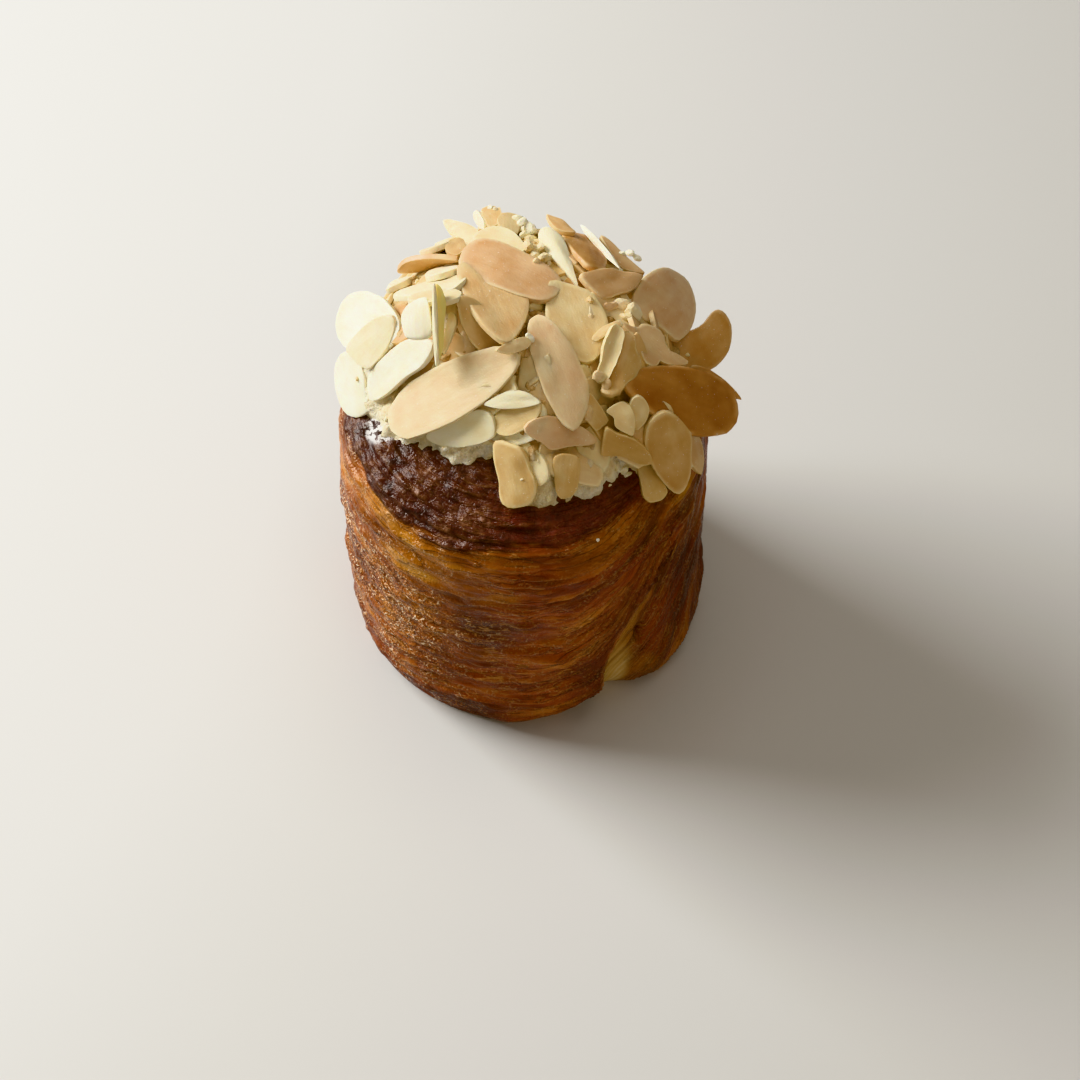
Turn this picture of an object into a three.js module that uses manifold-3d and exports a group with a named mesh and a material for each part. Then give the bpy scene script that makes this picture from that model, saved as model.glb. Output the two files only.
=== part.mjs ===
// An almond croissant: laminated dough baked upright in a ring, with a heap of
// almond cream and sliced almonds on top.
// Millimetres, +Z up. The origin is on the resting face, under the middle of the
// drum. The front looks towards -Y, and angles run from the front to the right.

import * as THREE from "three";
import { mergeVertices } from "three/addons/utils/BufferGeometryUtils.js";
import Module from "manifold-3d";

const UP = new THREE.Vector3(0, 0, 1);
const { clamp, lerp, smoothstep, degToRad, euclideanModulo } = THREE.MathUtils;

// The drum of dough
const DRUM_RADIUS = 35.5;
const DRUM_SEGMENTS = 64;
const FOOT_RADIUS = 33.6;
const FOOT_RISE = 7;
const SHOULDER_HEIGHT = 52;
const DRUM_HEIGHT = 67;
const SHOULDER_POWER = 2.4;
const OVAL = 0.5;

// The layers of the dough, which overlap upwards like shingles
const LAYER_PITCH = 3.4;
const LAYER_LIP = 0.95;
const LIP_WAVER = 0.4;
const LAYER_FIRST = 2.2;
const LAYER_LAST = 61;
const LAYER_CLOSE = 0.9;
const LAYER_CLIMB = 9;
const CLIMB_START = degToRad(5);
const CLIMB_TOP = degToRad(70);
const CLIMB_END = degToRad(290);

// The fold at the front right, where the last turn of dough ends
const FOLD_ANGLE = degToRad(25);
const FOLD_LEAN = degToRad(0.4);
const FOLD_SWEEP = degToRad(36);
const FOLD_SWEEP_HEIGHTS = [24, 66];
const FOLD_DEPTH = 4.9;
const FOLD_TOP = 46;
const FOLD_START = degToRad(-6);
const FOLD_EDGE = degToRad(1);
const FOLD_POCKET = degToRad(3);
const FOLD_END = degToRad(25);

// The flap of dough on the fold's left, whose foot draws in
const TUCK_DEPTH = 4;
const TUCK_SPAN = degToRad(32);
const TUCK_EASE = 1.3;
const TUCK_RISE = 15;

// The mound of almond cream, off centre so that the crust shows at the front left
const MOUND_X = 1.5;
const MOUND_Y = 8;
const MOUND_SEGMENTS = 36;
const MOUND_RINGS = 5;
const MOUND_EDGE = 34;
const MOUND_FLOOR = 56;
const MOUND_RIM = 61.2;
const MOUND_CROWN = 83;
const MOUND_POWER = 3;
const MOUND_ROUNDNESS = 0.8;
const MOUND_RING_SPACING = 0.7;
const MOUND_LUMP = 0.8;
const MOUND_RAG = 0.6;
const STEEPEST_SHARE = 0.9;
const BAYS = [
  { angle: degToRad(-32), width: degToRad(40), depth: 14.5 },
  { angle: degToRad(33), width: degToRad(26), depth: 7 },
];
const FIT_GAP = 0.35;
const WELD = 1e-3;
const ROUND_OFF = 1e-6;

// The sliced almonds
const FLAKE_COUNT = 44;
const FLAKE_LENGTH = [12, 22];
const FLAKE_SLIMNESS = [0.46, 0.72];
const FLAKE_THICKNESS = 1.3;
const FLAKE_SIDE_STEPS = 4;
const FLAKE_LIFT = [0.2, 1.8];
const FLAKE_LEAN = degToRad(22);
const FLAKE_LEVEL = 0.4;
const FLAKE_SPREAD = 0.97;
const FLAKE_CROWDING = 0.44;
const FLAKE_HOLD_BACK = 0.012;
const FLAKE_SEED = 41;
const GOLDEN_ANGLE = Math.PI * (3 - Math.sqrt(5));

// Large slices that stand out of the heap. Each lies at an angle round the mound, in degrees,
// and a share of the way to its edge. Spin turns its length from the right, lean tips it, and
// level is 0 for a slice that follows the slope and 1 for one that lies flat.
const LARGE_FLAKES = [
  { angle: -44, reach: 0.65, length: 27, width: 11.5, spin: 20, lean: 0, level: 0.1, lift: 1.9 },
  { angle: 19, reach: 0.46, length: 22, width: 8.5, spin: -68, lean: -4, level: 0, lift: 1.9 },
  { angle: -157, reach: 0.21, length: 22, width: 9, spin: -28, lean: 0, level: 0, lift: 2 },
  { angle: -76, reach: 0.23, length: 19, width: 8.5, spin: -60, lean: 4, level: 0, lift: 1.2 },
  { angle: 64, reach: 0.28, length: 18, width: 10, spin: -64, lean: 5, level: 0, lift: 1.5 },
  { angle: 74, reach: 0.8, length: 26, width: 13, spin: -14, lean: 8, level: 0.75, lift: 2.2 },
  { angle: 103, reach: 0.88, length: 17, width: 11, spin: 15, lean: -6, level: 0.7, lift: 1.9 },
  { angle: 115, reach: 0.8, length: 13, width: 12, spin: 70, lean: 0, level: 0.7, lift: 2.2 },
  { angle: 124, reach: 0.52, length: 15, width: 8, spin: 31, lean: 0, level: 0.3, lift: 1.6 },
  { angle: 152, reach: 0.34, length: 16, width: 7, spin: -66, lean: 10, level: 0, lift: 1.7 },
  { angle: -111, reach: 0.9, length: 13, width: 12, spin: 60, lean: 0, level: 0.7, lift: 2.2 },
  { angle: -74, reach: 0.69, length: 18, width: 10, spin: 25, lean: 0, level: 0.2, lift: 1.6 },
  { angle: -84, reach: 0.93, length: 16, width: 8.5, spin: -66, lean: 0, level: 0.2, lift: 1.2 },
  { angle: 56, reach: 0.91, length: 17, width: 8.5, spin: -50, lean: 0, level: 0.2, lift: 1.4 },
  { angle: -4, reach: 0.86, length: 13, width: 7, spin: -73, lean: 0, level: 0.1, lift: 1.2 },
  { angle: -160, reach: 0.72, length: 15, width: 8, spin: 110, lean: -6, level: 0.5, lift: 2 },
  { angle: 162, reach: 0.7, length: 15, width: 8.5, spin: 75, lean: -6, level: 0.4, lift: 2 },
  { angle: 138, reach: 0.72, length: 17, width: 8, spin: -35, lean: -8, level: 0.4, lift: 2 },
];

const wasm = await Module();
wasm.setup();

const crust = new THREE.MeshStandardMaterial({ color: 0x8a4a1c, roughness: 0.45, metalness: 0 });
const almond = new THREE.MeshStandardMaterial({ color: 0xe3cc9c, roughness: 0.6, metalness: 0 });

// Random numbers from 0 to 1 that are the same on every run.
function seededRandom(seed) {
  let state = seed;
  return () => {
    state = (state + 0x6d2b79f5) | 0;
    let bits = Math.imul(state ^ (state >>> 15), 1 | state);
    bits = (bits + Math.imul(bits ^ (bits >>> 7), 61 | bits)) ^ bits;
    return ((bits ^ (bits >>> 14)) >>> 0) / 4294967296;
  };
}

// An angle brought to between -180 and 180 degrees.
function wrapAngle(angle) {
  return euclideanModulo(angle + Math.PI, 2 * Math.PI) - Math.PI;
}

// Radius of the plain drum at a height: a drawn-in foot, an upright side, a rounded shoulder.
function drumRadius(height) {
  if (height < FOOT_RISE) {
    const drawnIn = (1 - height / FOOT_RISE) ** 2;
    return DRUM_RADIUS - (DRUM_RADIUS - FOOT_RADIUS) * drawnIn;
  }
  const rise = Math.max(0, (height - SHOULDER_HEIGHT) / (DRUM_HEIGHT - SHOULDER_HEIGHT));
  return DRUM_RADIUS * (1 - Math.min(1, rise) ** SHOULDER_POWER) ** (1 / SHOULDER_POWER);
}

// Height of a layer line at an angle: level at the left, climbing towards the right.
function layerHeight(angle, height) {
  const turn = euclideanModulo(angle, 2 * Math.PI);
  const climb = smoothstep(turn, CLIMB_START, CLIMB_TOP) - smoothstep(turn, CLIMB_TOP, CLIMB_END);
  return height + LAYER_CLIMB * climb * Math.sin((Math.PI * height) / DRUM_HEIGHT);
}

// How far a layer stands out at a height: most at its lower edge, nothing at its top.
function layerLip(angle, height) {
  if (height < LAYER_FIRST || height > LAYER_LAST) return 0;
  const count = (height - LAYER_FIRST) / LAYER_PITCH;
  const layer = Math.floor(count + ROUND_OFF);
  const wave = Math.sin(2 * angle + 2.4 * layer) * Math.cos(3 * angle - 1.7 * layer);
  return LAYER_LIP * (1 - (count - layer)) * (1 - LIP_WAVER * (1 - wave));
}

// How far an angle lies to the right of the fold, which leans and then sweeps to the right.
function pastFold(angle, height) {
  const sweep = FOLD_SWEEP * smoothstep(height, ...FOLD_SWEEP_HEIGHTS);
  return wrapAngle(angle - FOLD_ANGLE - FOLD_LEAN * height - sweep);
}

// How far the fold cuts in: a sharp edge on its left that eases out to the right.
function foldDepth(angle, height) {
  const past = pastFold(angle, height);
  const cut = smoothstep(past, FOLD_START, FOLD_EDGE) * (1 - smoothstep(past, FOLD_POCKET, FOLD_END));
  return FOLD_DEPTH * cut * Math.max(0, 1 - height / FOLD_TOP);
}

// How far the flap draws in at its foot, most beside the fold.
function flapTuck(angle, height) {
  const past = pastFold(angle, height);
  const along = clamp(1 + past / TUCK_SPAN, 0, 1) ** TUCK_EASE;
  const low = Math.max(0, 1 - height / TUCK_RISE) ** 2;
  return TUCK_DEPTH * along * low * (1 - smoothstep(past, FOLD_START, FOLD_EDGE));
}

// A vertex of the drum: a point of the plain profile moved to where the layers and the fold put it.
function drumPoint(angle, radius, height) {
  if (radius === 0) return new THREE.Vector3(0, 0, height);
  const onFoot = height === 0;
  const z = onFoot ? 0 : layerHeight(angle, height);
  const oval = OVAL * Math.sin(2 * angle + 0.6);
  const plain = onFoot ? radius : drumRadius(Math.min(z, DRUM_HEIGHT));
  const wall = plain - foldDepth(angle, z) - flapTuck(angle, z);
  const out = wall + oval * smoothstep(wall, 0, DRUM_RADIUS) + layerLip(angle, height);
  return new THREE.Vector3(out * Math.sin(angle), -out * Math.cos(angle), z);
}

// The drum's plain profile, from the middle of the base to the crown, with two rows to a layer.
function drumProfile() {
  const profile = [new THREE.Vector2(0, 0), new THREE.Vector2(FOOT_RADIUS, 0)];
  for (let low = LAYER_FIRST; low < LAYER_LAST; low += LAYER_PITCH) {
    for (const height of [low, low + LAYER_CLOSE * LAYER_PITCH]) {
      profile.push(new THREE.Vector2(drumRadius(height), height));
    }
  }
  const last = profile.at(-1).y;
  for (const share of [0.4, 0.75, 1]) {
    const height = lerp(last, DRUM_HEIGHT, share);
    profile.push(new THREE.Vector2(drumRadius(height), height));
  }
  return profile;
}

// A lathed profile, stood up along Z, with every vertex passed through a shaping function.
function shapedLathe(profile, segments, shape) {
  const geometry = new THREE.LatheGeometry(profile, segments);
  const position = geometry.getAttribute("position");
  for (let index = 0; index < position.count; index++) {
    const column = Math.floor(index / profile.length) % segments;
    const row = index % profile.length;
    const point = shape((column * 2 * Math.PI) / segments, profile[row].x, profile[row].y);
    position.setXYZ(index, point.x, point.y, point.z);
  }
  return geometry;
}

// A geometry as a solid for joining and cutting.
function solidOf(geometry) {
  const bare = geometry.clone();
  bare.deleteAttribute("normal");
  bare.deleteAttribute("uv");
  const merged = mergeVertices(bare, WELD);
  const corners = merged.index.array;
  const faces = [];
  for (let i = 0; i < corners.length; i += 3) {
    const [a, b, c] = corners.slice(i, i + 3);
    if (a !== b && b !== c && c !== a) faces.push(a, b, c);
  }
  return new wasm.Manifold(
    new wasm.Mesh({
      numProp: 3,
      vertProperties: merged.getAttribute("position").array,
      triVerts: new Uint32Array(faces),
    }),
  );
}

// A solid as a geometry for a mesh.
function geometryOf(solid) {
  const { vertProperties, triVerts } = solid.getMesh();
  const geometry = new THREE.BufferGeometry();
  geometry.setAttribute("position", new THREE.BufferAttribute(vertProperties, 3));
  geometry.setIndex(new THREE.BufferAttribute(triVerts, 1));
  geometry.computeVertexNormals();
  return geometry;
}

// The space that the topping leaves for the drum: the plain drum, its lips and a small gap.
function drumClearance() {
  const heights = [0, 20, 40, 50, 54, 57, 60, 62, 64, 65.5, 66.5, DRUM_HEIGHT];
  const profile = heights.map((height) => {
    const lips = LAYER_LIP * smoothstep(DRUM_HEIGHT - height, 2, 6);
    const radius = drumRadius(Math.max(height, FOOT_RISE)) + OVAL + lips + FIT_GAP;
    return new THREE.Vector2(height === DRUM_HEIGHT ? 0 : radius, height + FIT_GAP);
  });
  profile.unshift(new THREE.Vector2(0, heights[0] + FIT_GAP));
  return shapedLathe(
    profile,
    DRUM_SEGMENTS,
    (angle, r, z) => new THREE.Vector3(r * Math.sin(angle), -r * Math.cos(angle), z),
  );
}

// How far the topping draws back from its plain edge at an angle.
function drawnBack(angle) {
  const depths = BAYS.map((bay) => bay.depth * Math.exp(-((wrapAngle(angle - bay.angle) / bay.width) ** 2)));
  return depths.reduce((sum, depth) => sum + depth, 0);
}

// A point of the mound's top, at a share of the way from its crown to its edge.
function moundPoint(angle, share) {
  const ragged = MOUND_RAG * (Math.sin(7 * angle) + Math.sin(11 * angle + 1));
  const edge = MOUND_EDGE - drawnBack(angle) + ragged;
  const lump = MOUND_LUMP * Math.sin(5 * angle + 9 * share) * Math.sin(Math.PI * share);
  const drop = 1 - (1 - Math.min(1, share) ** MOUND_POWER) ** MOUND_ROUNDNESS;
  return new THREE.Vector3(
    lerp(MOUND_X, edge * Math.sin(angle), share),
    lerp(MOUND_Y, -edge * Math.cos(angle), share),
    lerp(MOUND_CROWN, MOUND_RIM, drop) + lump,
  );
}

// The mound as a closed solid, with its flat floor sunk in the drum. The profile's x is the
// share of the way to the edge.
function moundGeometry() {
  const profile = [new THREE.Vector2(0, MOUND_FLOOR), new THREE.Vector2(1, MOUND_FLOOR)];
  for (let ring = MOUND_RINGS; ring >= 0; ring--) {
    profile.push(new THREE.Vector2((ring / MOUND_RINGS) ** MOUND_RING_SPACING, MOUND_CROWN));
  }
  return shapedLathe(profile, MOUND_SEGMENTS, (angle, share, level) => {
    const point = moundPoint(angle, share);
    if (level === MOUND_FLOOR) point.z = MOUND_FLOOR;
    return point;
  });
}

// The direction that the mound's surface faces.
function moundNormal(angle, share) {
  const step = 0.04;
  const inner = clamp(share, step, STEEPEST_SHARE);
  const along = moundPoint(angle, inner + step).sub(moundPoint(angle, inner - step));
  const across = moundPoint(angle + step, inner).sub(moundPoint(angle - step, inner));
  return along.cross(across).normalize();
}

// A slice of almond: round at one end and drawn to a blunt point at the other.
function flakeGeometry(length, width) {
  const half = length / 2;
  const side = width / 2;
  const tip = 0.12 * width;
  const outline = new THREE.Shape();
  outline.moveTo(half, -tip);
  outline.lineTo(half, tip);
  outline.bezierCurveTo(0.6 * half, 1.25 * side, -half, 1.5 * side, -half, 0);
  outline.bezierCurveTo(-half, -1.5 * side, 0.6 * half, -1.25 * side, half, -tip);
  const flake = new THREE.ExtrudeGeometry(outline, {
    depth: FLAKE_THICKNESS,
    bevelEnabled: false,
    curveSegments: FLAKE_SIDE_STEPS,
  });
  return flake.translate(0, 0, -FLAKE_THICKNESS / 2);
}

// A slice laid on the mound, facing between the slope's own direction and straight up.
function laidFlake({ angle, reach, length, width, spin, lean, level, lift }) {
  const slope = moundNormal(angle, reach);
  const place = moundPoint(angle, reach).addScaledVector(slope, lift);
  const facing = slope.clone().lerp(UP, level).normalize();
  const lie = new THREE.Quaternion().setFromUnitVectors(UP, facing);
  lie.multiply(new THREE.Quaternion().setFromAxisAngle(UP, spin));
  lie.multiply(new THREE.Quaternion().setFromAxisAngle(new THREE.Vector3(0, 1, 0), lean));
  const matrix = new THREE.Matrix4().compose(place, lie, new THREE.Vector3(1, 1, 1));
  return flakeGeometry(length, width).applyMatrix4(matrix);
}

// Where every slice lies: the large ones by hand, then the rest spread evenly over the mound.
function flakeLayout() {
  const random = seededRandom(FLAKE_SEED);
  const layout = LARGE_FLAKES.map((flake) => ({
    ...flake,
    angle: degToRad(flake.angle),
    spin: degToRad(flake.spin),
    lean: degToRad(flake.lean),
  }));
  for (let count = 0; count < FLAKE_COUNT; count++) {
    const angle = count * GOLDEN_ANGLE;
    const length = lerp(...FLAKE_LENGTH, random());
    const share = (count + 0.5) / FLAKE_COUNT;
    const spread = FLAKE_SPREAD - FLAKE_HOLD_BACK * drawnBack(angle);
    layout.push({
      angle,
      reach: spread * share ** FLAKE_CROWDING,
      length,
      width: length * lerp(...FLAKE_SLIMNESS, random()),
      spin: 2 * Math.PI * random(),
      lean: FLAKE_LEAN * (2 * random() - 1),
      level: FLAKE_LEVEL * (1 - share),
      lift: lerp(...FLAKE_LIFT, random()),
    });
  }
  return layout;
}

// The topping in one piece: the mound with the slices that show fused on, clear of the drum.
function toppingGeometry() {
  let heap = solidOf(moundGeometry());
  for (const flake of flakeLayout()) heap = heap.add(solidOf(laidFlake(flake)));
  const pieces = heap.subtract(solidOf(drumClearance())).decompose();
  pieces.sort((a, b) => b.volume() - a.volume());
  return geometryOf(pieces[0]);
}

function namedMesh(name, geometry, material) {
  const mesh = new THREE.Mesh(geometry, material);
  mesh.name = name;
  return mesh;
}

const croissant = new THREE.Group();
croissant.add(
  namedMesh("pastry", geometryOf(solidOf(shapedLathe(drumProfile(), DRUM_SEGMENTS, drumPoint))), crust),
  namedMesh("almond_topping", toppingGeometry(), almond),
);

export default croissant;
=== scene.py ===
import math

import bpy
import numpy as np
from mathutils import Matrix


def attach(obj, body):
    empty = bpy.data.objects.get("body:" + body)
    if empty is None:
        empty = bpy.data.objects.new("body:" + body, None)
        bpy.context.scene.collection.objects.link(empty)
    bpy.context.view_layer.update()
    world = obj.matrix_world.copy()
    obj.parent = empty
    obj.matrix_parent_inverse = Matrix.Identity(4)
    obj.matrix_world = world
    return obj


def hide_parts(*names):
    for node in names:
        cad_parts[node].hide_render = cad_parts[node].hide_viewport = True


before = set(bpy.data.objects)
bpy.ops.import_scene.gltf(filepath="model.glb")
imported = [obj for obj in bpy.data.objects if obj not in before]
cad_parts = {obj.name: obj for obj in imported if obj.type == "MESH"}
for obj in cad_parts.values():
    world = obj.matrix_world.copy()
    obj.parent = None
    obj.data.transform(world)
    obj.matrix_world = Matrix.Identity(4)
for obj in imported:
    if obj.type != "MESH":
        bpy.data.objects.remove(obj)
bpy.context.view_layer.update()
mm = 0.001                                   # lengths below are in millimetres, as in the drawing


# small helpers: numbers

def smooth(value, low, high):
    share = np.clip((value - low) / (high - low), 0, 1)
    return share * share * (3 - 2 * share)


# rises over the first pair of values and falls over the second
def between(value, rise, fall):
    return smooth(value, *rise) * (1 - smooth(value, *fall))


def blend(first, second, share):
    return first + (second - first) * share


def unit(vector):
    vector = np.asarray(vector, float)
    return vector / np.linalg.norm(vector, axis=-1, keepdims=True)


# soft random values on a lattice, 0 to 1
def grain(points, seed):
    cell = np.floor(points).astype(np.int64)
    part = points - cell
    part = part * part * (3 - 2 * part)
    total = np.zeros(len(points))
    for corner in range(8):
        step = np.array([corner & 1, corner >> 1 & 1, corner >> 2 & 1])
        spot = cell + step
        key = spot[:, 0] * 374761393 + spot[:, 1] * 668265263 + spot[:, 2] * 974634533 + seed * 915488749
        key = (key ^ (key >> 13)) * 1274126177
        key = key ^ (key >> 16)
        weight = np.prod(np.where(step == 1, part, 1 - part), axis=1)
        total += weight * (key & 65535) / 65535
    return total


def roughGrain(points, seed, octaves=3):
    total = np.zeros(len(points))
    reach = 0
    for octave in range(octaves):
        share = 0.5 ** octave
        total += share * grain(points * 2 ** octave, seed + octave)
        reach += share
    return total / reach


def turnAbout(vector, axis, angle):
    axis = unit(axis)
    along = axis * np.dot(axis, vector)
    return along + (vector - along) * math.cos(angle) + np.cross(axis, vector) * math.sin(angle)


# small helpers: meshes

def letGo():
    if bpy.context.mode != "OBJECT":
        bpy.ops.object.mode_set(mode="OBJECT")
    bpy.ops.object.select_all(action="DESELECT")


def selectOnly(piece):
    letGo()
    piece.select_set(True)
    bpy.context.view_layer.objects.active = piece


# a profile of (radius, height) drawn point by point and spun once round the upright axis
def spinProfile(name, profile, steps):
    letGo()
    bpy.ops.mesh.primitive_plane_add(size=mm)
    piece = bpy.context.object
    piece.name = name
    bpy.ops.object.mode_set(mode="EDIT")
    bpy.ops.mesh.select_all(action="SELECT")
    bpy.ops.mesh.merge(type="CENTER")
    here = np.zeros(3)
    for number, (radius, height) in enumerate(profile):
        there = np.array([radius, 0, height]) * mm
        if number == 0:
            bpy.ops.transform.translate(value=there - here)
        else:
            bpy.ops.mesh.extrude_region_move(TRANSFORM_OT_translate={"value": there - here})
        here = there
    bpy.ops.mesh.select_all(action="SELECT")
    bpy.ops.mesh.spin(steps=steps, angle=2 * math.pi, center=(0, 0, 0), axis=(0, 0, 1))
    bpy.ops.mesh.select_all(action="SELECT")
    bpy.ops.mesh.remove_doubles(threshold=mm / 500)
    bpy.ops.mesh.normals_make_consistent(inside=False)
    bpy.ops.object.mode_set(mode="OBJECT")
    bpy.ops.object.shade_smooth()
    return piece


def readPoints(piece):
    places = np.empty(len(piece.data.vertices) * 3)
    piece.data.vertices.foreach_get("co", places)
    return places.reshape(-1, 3) / mm


def readNormals(piece):
    normals = np.empty(len(piece.data.vertices) * 3)
    piece.data.vertex_normals.foreach_get("vector", normals)
    return normals.reshape(-1, 3)


def writePoints(piece, points):
    piece.data.vertices.foreach_set("co", (points * mm).ravel())
    piece.data.update()


def readFaces(piece):
    return [list(face.vertices) for face in piece.data.polygons]


def keepColour(piece, name, *channels):
    filled = np.ones((len(piece.data.vertices), 4))
    for number, channel in enumerate(channels):
        filled[:, number] = channel
    piece.data.attributes.new(name, "FLOAT_COLOR", "POINT").data.foreach_set("color", filled.ravel())


def keepVector(piece, name, vectors):
    piece.data.attributes.new(name, "FLOAT_VECTOR", "POINT").data.foreach_set("vector", vectors.ravel())


def meshFromArrays(name, points, faces):
    mesh = bpy.data.meshes.new(name)
    mesh.from_pydata((points * mm).tolist(), [], faces)
    mesh.update()
    piece = bpy.data.objects.new(name, mesh)
    bpy.context.scene.collection.objects.link(piece)
    selectOnly(piece)
    bpy.ops.object.mode_set(mode="EDIT")
    bpy.ops.mesh.select_all(action="SELECT")
    bpy.ops.mesh.normals_make_consistent(inside=False)
    bpy.ops.object.mode_set(mode="OBJECT")
    return piece


# many small parts of one kind, joined into a single piece
def newParts():
    return {"points": [], "faces": [], "tone": [], "place": []}


def addPart(parts, points, faces, tone, place):
    start = sum(len(part) for part in parts["points"])
    parts["points"].append(points)
    parts["faces"].extend([[start + corner for corner in face] for face in faces])
    parts["tone"].append(np.stack([np.ones(len(points)) * channel for channel in tone], 1))
    parts["place"].append(place)


def joinParts(name, parts):
    piece = meshFromArrays(name, np.concatenate(parts["points"]), parts["faces"])
    keepColour(piece, "sliceTone", *np.concatenate(parts["tone"]).T)
    keepVector(piece, "slicePlace", np.concatenate(parts["place"]))
    return piece


# small helpers: materials

def tint(code):
    parts = [int(code[spot:spot + 2], 16) / 255 for spot in (1, 3, 5)]
    return [part / 12.92 if part <= 0.04045 else ((part + 0.055) / 1.055) ** 2.4 for part in parts] + [1]


def newFinish(name):
    finish = bpy.data.materials.new(name)
    finish.use_nodes = True
    return finish, finish.node_tree, finish.node_tree.nodes["Principled BSDF"]


def plug(socket, value):
    if isinstance(value, bpy.types.NodeSocket):
        socket.id_data.links.new(value, socket)
    else:
        socket.default_value = value


# a new node, in the tree of the sockets that feed it
def addNode(kind, *feeds):
    tree = next(feed.id_data for feed in feeds if isinstance(feed, bpy.types.NodeSocket))
    return tree.nodes.new(kind)


# sets several inputs of a shader at once
def dress(shader, values):
    for socket, value in values.items():
        plug(shader.inputs[socket], value)


def storedColour(tree, name):
    node = tree.nodes.new("ShaderNodeAttribute")
    node.attribute_name = name
    split = tree.nodes.new("ShaderNodeSeparateColor")
    plug(split.inputs[0], node.outputs["Color"])
    return list(split.outputs) + [node.outputs["Alpha"]]


def storedVector(tree, name):
    node = tree.nodes.new("ShaderNodeAttribute")
    node.attribute_name = name
    return node.outputs["Vector"]


def objectPlace(tree):
    return tree.nodes.new("ShaderNodeTexCoord").outputs["Object"]


def stretched(vector, scale):
    node = addNode("ShaderNodeMapping", vector)
    dress(node, {"Vector": vector, "Scale": scale})
    return node.outputs[0]


def noise(vector, scale, detail=3, roughness=0.5):
    node = addNode("ShaderNodeTexNoise", vector)
    dress(node, {"Vector": vector, "Scale": scale, "Detail": detail, "Roughness": roughness})
    return node.outputs["Fac"]


# rounded bumps packed side by side, 1 at their tops
def cells(vector, scale):
    node = addNode("ShaderNodeTexVoronoi", vector)
    node.feature = "SMOOTH_F1"
    dress(node, {"Vector": vector, "Scale": scale})
    return less(1.0, node.outputs["Distance"])


def sums(operation, first, second=0.0):
    node = addNode("ShaderNodeMath", first, second)
    node.operation = operation
    plug(node.inputs[0], first)
    plug(node.inputs[1], second)
    return node.outputs[0]


def plus(*values):
    total = values[0]
    for value in values[1:]:
        total = sums("ADD", total, value)
    return total


def times(*values):
    total = values[0]
    for value in values[1:]:
        total = sums("MULTIPLY", total, value)
    return total


def less(first, second):
    return sums("SUBTRACT", first, second)


def shift(value, weight):
    return times(less(value, 0.5), weight)


def most(first, second):
    return sums("MAXIMUM", first, second)


def span(value, low, high, toLow=0.0, toHigh=1.0):
    node = addNode("ShaderNodeMapRange", value)
    node.interpolation_type = "SMOOTHSTEP"
    dress(node, {"Value": value, "From Min": low, "From Max": high, "To Min": toLow, "To Max": toHigh})
    return node.outputs[0]


# thin lines where a noise passes its middle value
def lineOf(value, width):
    return span(sums("ABSOLUTE", less(value, 0.5)), 0.0, width, 1.0, 0.0)


def ramp(value, stops):
    node = addNode("ShaderNodeValToRGB", value)
    plug(node.inputs[0], value)
    marks = node.color_ramp.elements
    while len(marks) < len(stops):
        marks.new(0.5)
    for mark, (place, code) in zip(marks, stops):
        mark.position = place
        mark.color = tint(code)
    return node.outputs[0]


def paint(share, under, over):
    node = addNode("ShaderNodeMix", share, under, over)
    node.data_type = "RGBA"
    plug(node.inputs[0], share)
    plug(node.inputs[6], under)
    plug(node.inputs[7], over)
    return node.outputs[2]


def emboss(shader, height, distance):
    node = addNode("ShaderNodeBump", height)
    dress(node, {"Strength": 1.0, "Distance": distance * mm, "Height": height})
    plug(shader.inputs["Normal"], node.outputs[0])


# camera: the photograph looks down on the pastry from the front

viewOf = {
    "frame": 1080,                           # the photograph's side in pixels
    "lensAngle": 22.0,                       # degrees across the frame
    "lookDown": 55.4,                        # degrees below level
    "aim": (3.31, 10.31, 0.0),               # where the middle of the frame meets the floor
    "distance": 581.0,
}
downAngle = math.radians(viewOf["lookDown"])
viewDirection = np.array([0, math.cos(downAngle), -math.sin(downAngle)])
viewRight = np.array([1.0, 0, 0])
viewUp = np.array([0, math.sin(downAngle), math.cos(downAngle)])
eye = np.array(viewOf["aim"]) - viewDirection * viewOf["distance"]
pixelsPerRay = viewOf["frame"] / 2 / math.tan(math.radians(viewOf["lensAngle"]) / 2)

bpy.ops.object.camera_add(location=eye * mm, rotation=(math.pi / 2 - downAngle, 0, 0))
camera = bpy.context.object
camera.data.angle = math.radians(viewOf["lensAngle"])
camera.data.clip_start = 0.01
bpy.context.scene.camera = camera


# millimetres to pixels of the photograph, and back to a ray
def pixelsOf(points):
    offset = np.asarray(points, float) - eye
    depth = offset @ viewDirection
    across = viewOf["frame"] / 2 + pixelsPerRay * (offset @ viewRight) / depth
    down = viewOf["frame"] / 2 - pixelsPerRay * (offset @ viewUp) / depth
    return np.stack([across, down], -1)


def rayThrough(pixel):
    across = (pixel[0] - viewOf["frame"] / 2) / pixelsPerRay
    down = (viewOf["frame"] / 2 - pixel[1]) / pixelsPerRay
    return unit(viewDirection + viewRight * across + viewUp * down)


# crust: a drum wound from laminated dough

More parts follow.
